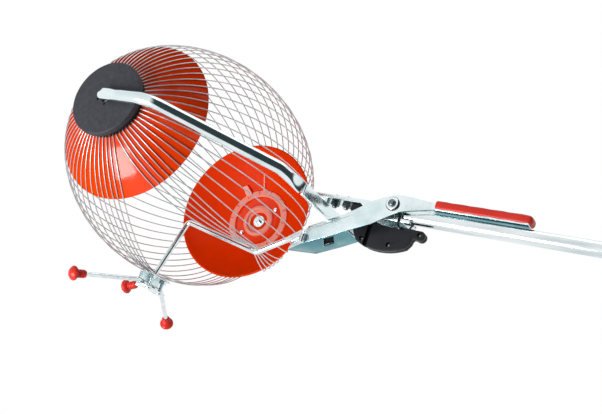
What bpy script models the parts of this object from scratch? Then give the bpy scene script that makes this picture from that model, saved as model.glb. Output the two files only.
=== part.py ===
"""Roller collector for tennis balls: a wire cage that rolls in a yoke, with a lever that opens it.

Axes: +X along the cage's spin axis, towards the near hub; +Y along the handle, away from the
cage; +Z up. The origin is on the handle tube's axis, where a hand holds it. Metres.
"""

import math

import bmesh
import bpy
from mathutils import Matrix, Vector

# Running and seating gaps
GAP = 0.0003
ROD_WIRE_GAP = 0.0006

# Cage
CAGE_RADIUS = 0.150
CAGE_HALF_AXIS = 0.1987
WIRE_COUNT = 60
WIRE_DIAMETER = 0.0018
WIRE_PHASE = math.radians(-63.7)
WIRE_END_RADIUS = 0.0401
WIRE_ROOT_DEPTH = 0.0015
WIRE_MIDDLE_STEPS = 6
WIRE_BOWL_STEPS = 2
BUNDLE_PITCH = 0.0021
INNER_ROW_COUNT = 2
INNER_ROW_DEPTH = 0.0028
REAR_BUNDLE_START = 0.0075

# Bowls and hubs
BOWL_DEPTH = 0.0561
BOWL_DEPTH_START = CAGE_HALF_AXIS - BOWL_DEPTH
BOWL_WALL = 0.0024
HUB_STEPS = 30
HUB_RADIUS = 0.0474
COMB_SETBACK = 0.0027
COMB_BACK = CAGE_HALF_AXIS - COMB_SETBACK
CAP_HEIGHT = 0.008
HUB_FACE = COMB_BACK + CAP_HEIGHT
HUB_EDGE = 0.002
HUB_WEB = 0.005
HUB_BOSS_RADIUS = 0.013
COMB_INNER_RADIUS = 0.0396
COMB_BORE = 0.026
NOTCH_CLEARANCE = 0.0003
RING_RADIUS = 0.0413
RING_THICKNESS = 0.0033
RING_COLLAR_RADIUS = 0.019
RING_COLLAR_HEIGHT = 0.006
RING_BORE = 0.014
HUB_SCREW_COUNT = 2
HUB_SCREW_CIRCLE = 0.031
HUB_SCREW_RADIUS = 0.002
HUB_SCREW_HEAD = 0.0038
BUSH_WALL = 0.0015
AXLE_RADIUS = 0.0047
WASHER_RADIUS = 0.009
WASHER_THICKNESS = 0.0012
AXLE_SPACER = 0.0036

# Yoke
PAD_THICKNESS = 0.0058
PAD_HALF_WIDTH = 0.0092
ARM_RADIUS = 0.0076
ARM_STRAIGHT = 0.071
ARM_BEND_RADIUS = 0.040
ARM_KNEE_SPREAD = 0.091
ARM_KNEE_REACH = 0.190
ARM_KNEE_DROP = 0.013
ARM_KNEE = Vector((ARM_KNEE_SPREAD, ARM_KNEE_REACH, -ARM_KNEE_DROP))
STRIP_HALF_SPAN = 0.068
STRIP_REACH = 0.214
STRIP_DROP = 0.0252
STRIP_HALF_HEIGHT = 0.0079
STRIP_THICKNESS = 0.0058
TAB_THICKNESS = 0.003
TAB_FRONT_MARGIN = 0.0065
TAB_REAR_MARGIN = 0.0085
TAB_BOLT_RADIUS = 0.003
TAB_BOLT_SPACING = 0.016
TAB_END = STRIP_REACH + STRIP_THICKNESS / 2 + TAB_FRONT_MARGIN + TAB_BOLT_SPACING + TAB_REAR_MARGIN

# Lever pivot, behind the housing's neck, which stands behind the tab
NECK_CLEARANCE = 0.0006
NECK_LENGTH = 0.013
NECK_TO_PIVOT = 0.0465
PIVOT_REACH = TAB_END + NECK_CLEARANCE + NECK_LENGTH + NECK_TO_PIVOT
PIVOT_DROP = 0.010
PIVOT_RADIUS = 0.003
PIVOT_WASHER_RADIUS = 0.008
PIVOT_HEAD_RADIUS = 0.0048
PIVOT_BUSH_RADIUS = 0.0078

# Handle
HANDLE_DROP = 0.0165
GRIP_REACH = 0.410
TUBE_RADIUS = 0.009
TUBE_WALL = 0.0015
TUBE_SETBACK = 0.0115
TUBE_FRONT = PIVOT_REACH + TUBE_SETBACK
TUBE_LENGTH = 0.5655
TUBE_REAR = TUBE_FRONT + TUBE_LENGTH
PLUG_FLANGE = 0.0015
PLUG_DEPTH = 0.012
END_CAP_LENGTH = 0.016
END_CAP_OVERLAP = 0.024
END_CAP_WALL = 0.0016

# Sheet steel bracket that joins the yoke to the tube
BRACKET_NOSE = 0.019
BRACKET_FRONT = STRIP_REACH - BRACKET_NOSE
BRACKET_WRAP = 0.0125
BRACKET_REAR = TUBE_FRONT + BRACKET_WRAP
BRACKET_TOP = -0.007
BRACKET_FLANGE = 0.010
BRACKET_SHEET = 0.0018
BRACKET_EAR_RADIUS = 0.0085

# Lever
LEVER_HALF_WIDTH = 0.0192
LEVER_SHEET = 0.002
LEVER_TIP_REACH = 0.181
LEVER_TAPER_REACH = 0.209
LEVER_NECK_SETBACK = 0.031
LEVER_NECK_REACH = PIVOT_REACH + LEVER_NECK_SETBACK
LEVER_NECK_LENGTH = 0.015
LEVER_BAR_REACH = LEVER_NECK_REACH + LEVER_NECK_LENGTH
LEVER_BAR_LENGTH = 0.114
LEVER_REAR = LEVER_BAR_REACH + LEVER_BAR_LENGTH
LEVER_BAR_HALF_WIDTH = 0.0085
LEVER_BAR_TOP = 0.0038
LEVER_BAR_HEIGHT = 0.0094
LEVER_TIP_HALF_WIDTH = 0.0015
LEVER_TIP_DROP = 0.084
LEVER_TIP_HEIGHT = 0.004
LEVER_TAPER_DROP = 0.077
LEVER_TAPER_HEIGHT = 0.0225
WEB_SWING_CLEARANCE = 0.0012
WINDOW_SETBACK = 0.019
WINDOW_LENGTH = 0.014
WINDOW_WIDTH = 0.013
GRIP_SETBACK = 0.001
GRIP_START = LEVER_BAR_REACH + GRIP_SETBACK
GRIP_WALL = 0.0013
GRIP_CORNER = 0.0035
GRIP_END_WALL = 0.003

# Quadrant housing
QUADRANT_RADIUS = 0.060
HOUSING_HALF_WIDTH = 0.014
HOUSING_WALL = 0.0024
HOUSING_SCREW_RADIUS = 0.0022
HOUSING_BOSS_WALL = 0.0022
HOUSING_BRACKET_ROOM = 0.0069
LUG_SETBACK = 0.042
LUG_DROP = 0.0315
LUG_RADIUS = 0.0085

# Return spring
SPRING_WIRE = 0.0012
SPRING_REAR_REACH = 0.029
SPRING_FRONT_REACH = 0.054

# Opener
ROD_RADIUS = 0.0035
ROD_VALLEY_ANGLE = math.radians(-34.544)
ROD_VALLEY_CLEARANCE = 0.01754
ROD_VALLEY_RADIUS = CAGE_RADIUS + ROD_VALLEY_CLEARANCE
ROD_VALLEY = Vector((0.0, ROD_VALLEY_RADIUS * math.cos(ROD_VALLEY_ANGLE),
                     ROD_VALLEY_RADIUS * math.sin(ROD_VALLEY_ANGLE)))
ROD_APEX_REACH = 0.022
ROD_APEX_HEIGHT = 0.077
ROD_APEX = Vector((0.0, ROD_APEX_REACH, ROD_APEX_HEIGHT - CAGE_RADIUS))
ROD_FOOT_REACH = 0.0005
ROD_STUB = 0.012
ROD_HOOK_HEIGHT = 0.0135
ROD_NOSE_HEIGHT = 0.0115

# Foot
FOOT_CLEARANCE = 0.003
FOOT_TOP = -CAGE_RADIUS - FOOT_CLEARANCE
FOOT_LENGTH = 0.045
FOOT_DEPTH = 0.018
FOOT_SHEET = 0.002
FOOT_INSIDE = 0.0155
PRONG_RADIUS = 0.003
PRONG_MIDDLE = 0.027
PRONG_SPREAD = 0.107
PRONG_FORWARD = 0.034
PRONG_DROP = 0.041
PRONG_TIP = Vector((PRONG_SPREAD, -PRONG_FORWARD, FOOT_TOP - PRONG_DROP))
PRONG_BEND_RADIUS = 0.012
SHORT_PRONG_FORWARD = 0.038
SHORT_PRONG_DROP = 0.023
SHORT_PRONG_TIP = Vector((0.0, -SHORT_PRONG_FORWARD, FOOT_TOP - SHORT_PRONG_DROP))
TIP_HEAD_RADIUS = 0.0093
TIP_HEAD_LENGTH = 0.010
TIP_NECK_RADIUS = 0.0055
TIP_NECK_LENGTH = 0.012
TIP_RIBS = 3
TIP_SOCKET = 0.008
FOOT_BOLT_RADIUS = 0.0025

SPIN_CENTRE = Vector((0.0, -GRIP_REACH, HANDLE_DROP))
WIRE_RADIUS = WIRE_DIAMETER / 2
CHEEK_INSIDE = LEVER_HALF_WIDTH - LEVER_SHEET
WEB_HEIGHT = LEVER_SHEET / math.cos(math.radians(28.0))
BRACKET_INSIDE = TUBE_RADIUS + GAP
BRACKET_OUTSIDE = BRACKET_INSIDE + BRACKET_SHEET
BRACKET_DEEP = -HANDLE_DROP - TUBE_RADIUS - GAP - BRACKET_SHEET
SIDEWAYS = Matrix(((0, 0, 1, 0), (1, 0, 0, 0), (0, 1, 0, 0), (0, 0, 0, 1)))


def clear_scene():
    for obj in list(bpy.data.objects):
        bpy.data.objects.remove(obj, do_unlink=True)


def make_collection(name):
    collection = bpy.data.collections.new(name)
    bpy.context.scene.collection.children.link(collection)
    return collection


def make_material(name, colour, roughness, metallic):
    material = bpy.data.materials.new(name)
    material.use_nodes = True
    shader = material.node_tree.nodes["Principled BSDF"]
    shader.inputs["Base Color"].default_value = (*colour, 1.0)
    shader.inputs["Roughness"].default_value = roughness
    shader.inputs["Metallic"].default_value = metallic
    return material


clear_scene()
PARTS = make_collection("ball_roller_collector")
CUTTERS = make_collection("cutters")
WIRE_STEEL = make_material("wire_steel", (0.62, 0.63, 0.65), 0.32, 1.0)
ZINC_STEEL = make_material("zinc_steel", (0.72, 0.76, 0.80), 0.22, 1.0)
ORANGE_PLASTIC = make_material("orange_plastic", (0.92, 0.12, 0.02), 0.22, 0.0)
GREY_PLASTIC = make_material("grey_plastic", (0.07, 0.07, 0.08), 0.55, 0.0)
BLACK_PLASTIC = make_material("black_plastic", (0.02, 0.02, 0.025), 0.45, 0.0)
NYLON = make_material("nylon", (0.75, 0.74, 0.70), 0.45, 0.0)
RED_RUBBER = make_material("red_rubber", (0.75, 0.05, 0.03), 0.42, 0.0)
SPRING_STEEL = make_material("spring_steel", (0.30, 0.30, 0.32), 0.35, 1.0)


def add_object(name, data, material, collection=None):
    obj = bpy.data.objects.new(name, data)
    if material is not None:
        data.materials.append(material)
    (collection or PARTS).objects.link(obj)
    return obj


def from_cage(x, y, z):
    """A point given from the centre of the cage, in the part's own frame."""
    return SPIN_CENTRE + Vector((x, y, z))


def turned(name, profile, steps, material, place, ring=True, phase=0.0, collection=None):
    """Turn a profile of (radius, height) points, running down its outer side, about Z."""
    points = [(r * math.cos(phase), r * math.sin(phase), z) for r, z in profile]
    edges = [(i, i + 1) for i in range(len(points) - 1)]
    if ring:
        edges.append((len(points) - 1, 0))
    mesh = bpy.data.meshes.new(name)
    mesh.from_pydata(points, edges, [])
    obj = add_object(name, mesh, material, collection)
    obj.matrix_world = place
    screw = obj.modifiers.new("turn", "SCREW")
    screw.axis = "Z"
    screw.angle = math.tau
    screw.steps = steps
    screw.render_steps = steps
    screw.use_merge_vertices = True
    screw.merge_threshold = 0.00002
    screw.use_smooth_shade = False
    return obj


def cylinder(name, radius, low, high, place, material=None, collection=None, sides=12):
    profile = [(0.0, high), (radius, high), (radius, low), (0.0, low)]
    return turned(name, profile, sides, material, place, False, 0.0, collection)


def tube_between(name, outer, inner, low, high, place, material, sides=16):
    profile = [(inner, high), (outer, high), (outer, low), (inner, low)]
    return turned(name, profile, sides, material, place)


def along_x(centre, side=1):
    """Place a turned piece with its +Z along +X, or along -X on the far side."""
    return Matrix.Translation(centre) @ Matrix.Rotation(side * math.pi / 2, 4, "Y")


def along_y(centre):
    return Matrix.Translation(centre) @ Matrix.Rotation(-math.pi / 2, 4, "X")


def along(centre, direction):
    turn = direction.normalized().to_track_quat("Z", "Y").to_matrix().to_4x4()
    return Matrix.Translation(centre) @ turn


def curve_to_mesh(curve_object, material, collection):
    """Replace a curve object by a welded mesh object of the same name."""
    name = curve_object.name
    bpy.context.view_layer.update()
    graph = bpy.context.evaluated_depsgraph_get()
    mesh = bpy.data.meshes.new_from_object(curve_object.evaluated_get(graph))
    place = curve_object.matrix_world.copy()
    bpy.data.objects.remove(curve_object, do_unlink=True)
    welded = bmesh.new()
    welded.from_mesh(mesh)
    bmesh.ops.remove_doubles(welded, verts=welded.verts, dist=0.00001)
    bmesh.ops.recalc_face_normals(welded, faces=welded.faces)
    welded.to_mesh(mesh)
    welded.free()
    mesh.materials.clear()
    obj = add_object(name, mesh, material, collection)
    obj.matrix_world = place
    return obj


def plate(name, outline, low, high, place, material=None, collection=None):
    """A flat outline in local XY, from low to high along local Z."""
    curve = bpy.data.curves.new(name, "CURVE")
    curve.dimensions = "2D"
    curve.fill_mode = "BOTH"
    curve.extrude = (high - low) / 2
    spline = curve.splines.new("POLY")
    spline.points.add(len(outline) - 1)
    for point, (u, v) in zip(spline.points, outline):
        point.co = (u, v, 0.0, 1.0)
    spline.use_cyclic_u = True
    obj = add_object(name, curve, None, collection)
    obj.matrix_world = place @ Matrix.Translation((0, 0, (high + low) / 2))
    return curve_to_mesh(obj, material, collection or PARTS)


def side_plate(name, outline, low, high, material=None, collection=None):
    """A plate whose outline holds (y, z) points from the cage's centre, from low to high in X."""
    return plate(name, outline, low, high, Matrix.Translation(SPIN_CENTRE) @ SIDEWAYS,
                 material, collection)


def box(name, low, high, material=None, collection=None):
    """A box between two corners given from the cage's centre."""
    size = Vector(high) - Vector(low)
    mesh = bpy.data.meshes.new(name)
    shape = bmesh.new()
    bmesh.ops.create_cube(shape, size=1.0)
    bmesh.ops.scale(shape, vec=size, verts=shape.verts)
    shape.to_mesh(mesh)
    shape.free()
    obj = add_object(name, mesh, material, collection)
    obj.location = SPIN_CENTRE + (Vector(low) + Vector(high)) / 2
    return obj


def combine(obj, other, operation="DIFFERENCE"):
    modifier = obj.modifiers.new(operation.lower(), "BOOLEAN")
    modifier.operation = operation
    modifier.solver = "EXACT"
    modifier.object = other
    if other.name not in CUTTERS.objects:
        for collection in list(other.users_collection):
            collection.objects.unlink(other)
        CUTTERS.objects.link(other)
    other.hide_render = True
    other.display_type = "WIRE"
    return obj


def round_edges(obj, width, segments=1, angle=30.0):
    bevel = obj.modifiers.new("round", "BEVEL")
    bevel.width = width
    bevel.segments = segments
    bevel.limit_method = "ANGLE"
    bevel.angle_limit = math.radians(angle)
    return obj


def rod(name, paths, radius, material, sides_level):
    """Round rods along lists of points, as one curve object."""
    curve = bpy.data.curves.new(name, "CURVE")
    curve.dimensions = "3D"
    curve.bevel_depth = radius
    curve.bevel_resolution = sides_level
    curve.use_fill_caps = True
    for path in paths:
        spline = curve.splines.new("POLY")
        spline.points.add(len(path) - 1)
        for point, place in zip(spline.points, path):
            point.co = (*place, 1.0)
    return add_object(name, curve, material)


def bent_path(corners, radii, steps=4):
    """A path through corners, each inner corner rounded to its radius."""
    path = [corners[0]]
    for i, radius in enumerate(radii, start=1):
        back = (corners[i - 1] - corners[i]).normalized()
        ahead = (corners[i + 1] - corners[i]).normalized()
        half = back.angle(ahead) / 2
        centre = corners[i] + (back + ahead).normalized() * (radius / math.sin(half))
        start = corners[i] + back * (radius / math.tan(half)) - centre
        end = corners[i] + ahead * (radius / math.tan(half)) - centre
        turn = start.angle(end)
        for k in range(steps + 1):
            share = k / steps
            a = math.sin((1 - share) * turn) / math.sin(turn)
            b = math.sin(share * turn) / math.sin(turn)
            path.append(centre + start * a + end * b)
    path.append(corners[-1])
    return path


def loft(name, stations, material, sides=12):
    """Skin a tube through stations of (centre, half height, half thickness)."""
    shape = bmesh.new()
    rings = []
    for i, (centre, tall, thick) in enumerate(stations):
        before = stations[max(i - 1, 0)][0]
        after = stations[min(i + 1, len(stations) - 1)][0]
        forward = (after - before).normalized()
        up = (Vector((0, 0, 1)) - forward * forward.z).normalized()
        across = forward.cross(up)
        ring = []
        for k in range(sides):
            a = math.tau * (k + 0.5) / sides
            ring.append(shape.verts.new(centre + up * tall * math.cos(a) + across * thick * math.sin(a)))
        rings.append(ring)
    for first, second in zip(rings, rings[1:]):
        for k in range(sides):
            n = (k + 1) % sides
            shape.faces.new((first[k], first[n], second[n], second[k]))
    shape.faces.new(rings[0])
    shape.faces.new(rings[-1])
    bmesh.ops.recalc_face_normals(shape, faces=shape.faces)
    mesh = bpy.data.meshes.new(name)
    shape.to_mesh(mesh)
    shape.free()
    return add_object(name, mesh, material)


def bolt(name, radius, head_radius, head_height, length, place, material, head_sides=12):
    """A bolt with a domed head above local Z = 0 and its shank below."""
    profile = [
        (0.0, head_height),
        (head_radius * 0.7, head_height * 0.85),
        (head_radius, head_height * 0.25),
        (head_radius, 0.0),
        (radius, 0.0),
        (radius, -length),
        (0.0, -length),
    ]
    return turned(name, profile, head_sides, material, place, False)


def nut(name, bore, across, low, high, place, material):
    """A hexagon nut between low and high on its axis; its bore's flats clear the thread."""
    inner = bore / math.cos(math.pi / 6)
    return turned(name, [(inner, high), (across, high), (across, low), (inner, low)], 6, material, place)


def inset(outline, distance):
    """An outline of straight sides moved inwards, for outlines that run anticlockwise."""
    moved = []
    count = len(outline)
    for i, corner in enumerate(outline):
        here = Vector(corner)
        before = (here - Vector(outline[i - 1])).normalized()
        after = (Vector(outline[(i + 1) % count]) - here).normalized()
        normal_before = Vector((-before.y, before.x))
        normal_after = Vector((-after.y, after.x))
        mitre = (normal_before + normal_after).normalized()
        moved.append(tuple(here + mitre * (distance / max(mitre.dot(normal_after), 0.3))))
    return moved


# Wires

BOWL_RIM_TURN = math.asin(BOWL_DEPTH_START / CAGE_HALF_AXIS)
COMB_EDGE_TURN = math.acos((HUB_RADIUS + GAP) / CAGE_RADIUS)
WIRE_END_TURN = math.acos(WIRE_END_RADIUS / CAGE_RADIUS)
WIRE_FREE_END = CAGE_HALF_AXIS * math.sin(COMB_EDGE_TURN)


def meridian(turn):
    """The even wire's radius and distance along the axis, at a turn from the middle plane."""
    return CAGE_RADIUS * math.cos(turn), CAGE_HALF_AXIS * math.sin(turn)


def wire_turns():
    """Turns of the bends along a wire, from the far hub to its root in the near comb."""
    rim, edge = BOWL_RIM_TURN, COMB_EDGE_TURN
    root = math.acos((COMB_INNER_RADIUS - WIRE_ROOT_DEPTH) / CAGE_RADIUS)
    middle = [rim * (2 * k / WIRE_MIDDLE_STEPS - 1) for k in range(WIRE_MIDDLE_STEPS + 1)]
    bowl = [rim + (edge - rim) * k / WIRE_BOWL_STEPS for k in range(1, WIRE_BOWL_STEPS + 1)]
    return [-WIRE_END_TURN] + [-t for t in reversed(bowl)] + middle + bowl + [root]


def wire_path(angle, shifted_angle=None, shifted_radius=CAGE_RADIUS):
    """One wire; a spread wire runs straight from each hub to its place beside the rod."""
    shifted = angle if shifted_angle is None else shifted_angle
    slide = shifted_radius * (shifted - angle)
    path = []
    for turn in wire_turns():
        radius, x = meridian(turn)
        pull = max(0.0, 1 - abs(x) / WIRE_FREE_END)
        lift = max(0.0, 1 - abs(x) / BOWL_DEPTH_START)
        here = angle + slide * pull / radius
        radius += (shifted_radius - CAGE_RADIUS) * lift
        path.append(from_cage(x, radius * math.cos(here), radius * math.sin(here)))
    return path


def circle_crossing(start, end, radius):
    """The point where a line in the middle plane, from inside the cage outwards, leaves a circle."""
    a = Vector((start.y, start.z))
    step = Vector((end.y, end.z)) - a
    half = a.dot(step) / step.length_squared
    root = math.sqrt(half * half - (a.length_squared - radius * radius) / step.length_squared)
    return a + step * (root - half)


def rod_foot():
    """The opener's lower end, whose slanting face rests on the foot by its lower edge."""
    foot = Vector((0.0, ROD_FOOT_REACH, FOOT_TOP + GAP))
    leg = foot - ROD_APEX
    foot.z += ROD_RADIUS * abs(leg.y) / leg.length
    return foot


ROD_FOOT = rod_foot()


def front_bundle(pitch, beside):
    """Wires held back by the opener's front leg: (own angle, pushed angle, pushed radius).

    The first to be pushed lie inside the others, two deep against the leg.
    """
    leg = ROD_FOOT - ROD_APEX
    crossing = circle_crossing(ROD_APEX, ROD_FOOT, CAGE_RADIUS)
    lean = abs(Vector((leg.y, leg.z)).normalized().dot(crossing.normalized()))
    first = math.atan2(crossing.y, crossing.x) - beside / lean / CAGE_RADIUS
    step = BUNDLE_PITCH / CAGE_RADIUS
    inner_radius = CAGE_RADIUS - INNER_ROW_DEPTH
    bundle = [(WIRE_PHASE - k * pitch, first - (k + 0.5) * step, inner_radius)
              for k in range(INNER_ROW_COUNT)]
    place = first
    angle = WIRE_PHASE - INNER_ROW_COUNT * pitch
    while angle > place:
        bundle.append((angle, place, CAGE_RADIUS))
        place -= step
        angle -= pitch
    return bundle


def rear_bundle(pitch, beside):
    """Wires lifted on to the opener's slanting run, beside the valley."""
    run = (ROD_APEX - ROD_VALLEY).normalized()
    above = Vector((0.0, run.z, -run.y))
    if above.z < 0:
        above = -above
    crossing = circle_crossing(ROD_APEX, ROD_VALLEY, CAGE_RADIUS)
    limit = math.atan2(crossing.y, crossing.x) + beside / CAGE_RADIUS
    count = math.ceil((limit - WIRE_PHASE) / pitch) - 1
    bundle = []
    for k in range(count):
        place = ROD_VALLEY + run * (REAR_BUNDLE_START + k * BUNDLE_PITCH) + above * beside
        pushed = math.atan2(place.z, place.y)
        bundle.append((WIRE_PHASE + (count - k) * pitch, pushed, Vector((place.y, place.z)).length))
    return bundle


def sort_wires():
    """Split the wires into those in their even places and those that the opener holds apart."""
    pitch = math.tau / WIRE_COUNT
    beside = ROD_RADIUS + WIRE_RADIUS + ROD_WIRE_GAP
    pushed = front_bundle(pitch, beside) + rear_bundle(pitch, beside)
    taken = {round((wire[0] - WIRE_PHASE) / pitch) % WIRE_COUNT for wire in pushed}
    even = [WIRE_PHASE + k * pitch for k in range(WIRE_COUNT) if k not in taken]
    return even, pushed


def build_wires():
    """All the wires, moulded by their near ends into the near comb, free in the far comb."""
    even, pushed = sort_wires()
    paths = [wire_path(angle) for angle in even] + [wire_path(*wire) for wire in pushed]
    wires = rod("wire_set", paths, WIRE_RADIUS, WIRE_STEEL, 0)
    comb = build_comb("cage_wires", 1, WIRE_STEEL)
    combine(comb, curve_to_mesh(wires, WIRE_STEEL, CUTTERS), "UNION")


# Hubs

def offset_meridian(turn, inwards):
    """A point of the bowl's section, set in from the wire's own line."""
    radius, x = meridian(turn)
    out = Vector((math.cos(turn) / CAGE_RADIUS, math.sin(turn) / CAGE_HALF_AXIS)).normalized()
    return radius - out.x * inwards, x - out.y * inwards


BOWL_TURNS = [WIRE_END_TURN] + [
    COMB_EDGE_TURN + (BOWL_RIM_TURN - COMB_EDGE_TURN) * k / WIRE_BOWL_STEPS
    for k in range(WIRE_BOWL_STEPS + 1)
]
BOWL_OUTSIDE = WIRE_RADIUS + GAP
BOWL_FLOOR = offset_meridian(BOWL_TURNS[0], BOWL_OUTSIDE)[1]
BUSH_RADIUS = AXLE_RADIUS + GAP + BUSH_WALL
CAP_BORE = BUSH_RADIUS + GAP


def hub_phase(side):
    """Turn the facets so that their corners fall midway between the wires."""
    corner = WIRE_PHASE + math.pi / WIRE_COUNT
    return math.pi / 2 + side * corner


def hub_screw_places(side):
    places = []
    for k in range(HUB_SCREW_COUNT):
        angle = math.tau * (k + 0.25) / HUB_SCREW_COUNT
        offset = Vector((0, HUB_SCREW_CIRCLE * math.cos(angle), HUB_SCREW_CIRCLE * math.sin(angle)))
        places.append(along_x(SPIN_CENTRE + offset, side))
    return places


def drill_hub(obj, name, side, low, high):
    for k, place in enumerate(hub_screw_places(side)):
        hole = cylinder(f"{name}_way_{k}", HUB_SCREW_RADIUS + GAP, low, high, place,
                        collection=CUTTERS, sides=6)
        combine(obj, hole)


def build_comb(name, side, material):
    """The toothed ring that holds the wires' ends against the bowl."""
    lip = COMB_INNER_RADIUS + 0.0012
    seat = BOWL_FLOOR + GAP
    profile = [
        (COMB_BORE, COMB_BACK),
        (HUB_RADIUS, COMB_BACK),
        (HUB_RADIUS, bowl_height(HUB_RADIUS) + GAP),
        (lip, bowl_height(lip) + GAP),
        (COMB_INNER_RADIUS - 0.0004, seat),
        (COMB_BORE, seat),
    ]
    comb = turned(name, profile, HUB_STEPS, material, along_x(SPIN_CENTRE, side), True,
                  hub_phase(side))
    combine(comb, comb_cutter(name, side))
    drill_hub(comb, name, side, seat - 0.002, COMB_BACK + 0.002)
    return comb


def build_cap(name, side):
    seat = BOWL_FLOOR + GAP
    back = COMB_BACK + GAP
    profile = [
        (CAP_BORE, HUB_FACE),
        (HUB_RADIUS - HUB_EDGE, HUB_FACE),
        (HUB_RADIUS, HUB_FACE - HUB_EDGE),
        (HUB_RADIUS, back),
        (COMB_BORE, back),
        (COMB_BORE, HUB_FACE - HUB_WEB),
        (HUB_BOSS_RADIUS, HUB_FACE - HUB_WEB),
        (HUB_BOSS_RADIUS, seat),
        (CAP_BORE, seat),
    ]
    cap = turned(name, profile, HUB_STEPS, GREY_PLASTIC, along_x(SPIN_CENTRE, side), True,
                 hub_phase(side))
    drill_hub(cap, name, side, back - 0.002, HUB_FACE - HUB_WEB / 2)


def bowl_height(radius):
    """Where the bowl's outside lies along the axis, at a radius near the hub."""
    inner = offset_meridian(BOWL_TURNS[0], BOWL_OUTSIDE)
    outer = offset_meridian(BOWL_TURNS[1], BOWL_OUTSIDE)
    share = (radius - inner[0]) / (outer[0] - inner[0])
    return inner[1] + share * (outer[1] - inner[1])


def comb_cutter(name, side):
    """Blocks, one for each wire, that leave the comb's teeth between them."""
    floor = meridian(WIRE_END_TURN)[1] + WIRE_RADIUS + NOTCH_CLEARANCE
    low = bowl_height(HUB_RADIUS) - 0.004
    half_width = WIRE_RADIUS + NOTCH_CLEARANCE
    shape = bmesh.new()
    for k in range(WIRE_COUNT):
        block = bmesh.ops.create_cube(shape, size=1.0)["verts"]
        reach = HUB_RADIUS + 0.002 - COMB_INNER_RADIUS
        bmesh.ops.scale(shape, vec=(floor - low, reach, 2 * half_width), verts=block)
        middle = Vector((side * (floor + low) / 2, COMB_INNER_RADIUS + reach / 2, 0.0))
        bmesh.ops.translate(shape, vec=middle, verts=block)
        turn = Matrix.Rotation(WIRE_PHASE + k * math.tau / WIRE_COUNT, 3, "X")
        bmesh.ops.rotate(shape, cent=(0, 0, 0), matrix=turn, verts=block)
    mesh = bpy.data.meshes.new(name + "_notches")
    shape.to_mesh(mesh)
    shape.free()
    cutter = add_object(name + "_notches", mesh, None, CUTTERS)
    cutter.location = SPIN_CENTRE
    return cutter


def build_bowl(name, side):
    outside = [offset_meridian(t, BOWL_OUTSIDE) for t in BOWL_TURNS]
    inside = [offset_meridian(t, BOWL_OUTSIDE + BOWL_WALL) for t in BOWL_TURNS]
    inner_floor = BOWL_FLOOR - BOWL_WALL
    share = (inside[0][1] - inner_floor) / (inside[0][1] - inside[1][1])
    corner = inside[0][0] + share * (inside[1][0] - inside[0][0])
    hole = CAP_BORE
    profile = [(hole, BOWL_FLOOR)] + outside + list(reversed(inside[1:]))
    profile += [(corner, inner_floor), (hole, inner_floor)]
    bowl = turned(name, profile, HUB_STEPS, ORANGE_PLASTIC, along_x(SPIN_CENTRE, side), True,
                  hub_phase(side))
    drill_hub(bowl, name, side, inner_floor - 0.002, BOWL_FLOOR + 0.002)
    return bowl


def build_clamp_ring(name, side):
    top = BOWL_FLOOR - BOWL_WALL - GAP
    low = top - RING_THICKNESS
    profile = [
        (RING_BORE, top),
        (RING_RADIUS - 0.0042, top),
        (RING_RADIUS, top - 0.0022),
        (RING_RADIUS, low),
        (RING_COLLAR_RADIUS + 0.006, low),
        (RING_COLLAR_RADIUS, low - RING_COLLAR_HEIGHT / 2),
        (RING_BORE, low - RING_COLLAR_HEIGHT / 2),
    ]
    ring = turned(name, profile, 18, ORANGE_PLASTIC, along_x(SPIN_CENTRE, side))
    drill_hub(ring, name, side, low - 0.002, top + 0.002)
    return ring


def build_hub(label, side):
    place = along_x(SPIN_CENTRE, side)
    build_cap(label + "_hub_cap", side)
    build_bowl(label + "_bowl", side)
    build_clamp_ring(label + "_clamp_ring", side)
    inner_end = BOWL_FLOOR - BOWL_WALL
    tube_between(label + "_hub_bush", BUSH_RADIUS, AXLE_RADIUS + GAP, inner_end,
                 HUB_FACE + GAP, place, NYLON, 12)
    top = BOWL_FLOOR - BOWL_WALL - GAP - RING_THICKNESS - GAP
    length = HUB_FACE - HUB_WEB / 2 - top - GAP
    for k, screw_place in enumerate(hub_screw_places(side), start=1):
        head = screw_place @ Matrix.Translation((0, 0, top)) @ Matrix.Rotation(math.pi, 4, "X")
        bolt(f"{label}_hub_screw_{k}", HUB_SCREW_RADIUS, HUB_SCREW_HEAD, 0.0022, length, head,
             ZINC_STEEL, 6)


# Yoke

PAD_INSIDE = HUB_FACE + 2 * GAP + AXLE_SPACER + GAP
PAD_OUTSIDE = PAD_INSIDE + PAD_THICKNESS
PAD_MIDDLE = (PAD_INSIDE + PAD_OUTSIDE) / 2
ARM_OUT = HUB_FACE + ARM_RADIUS + 0.001


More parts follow.
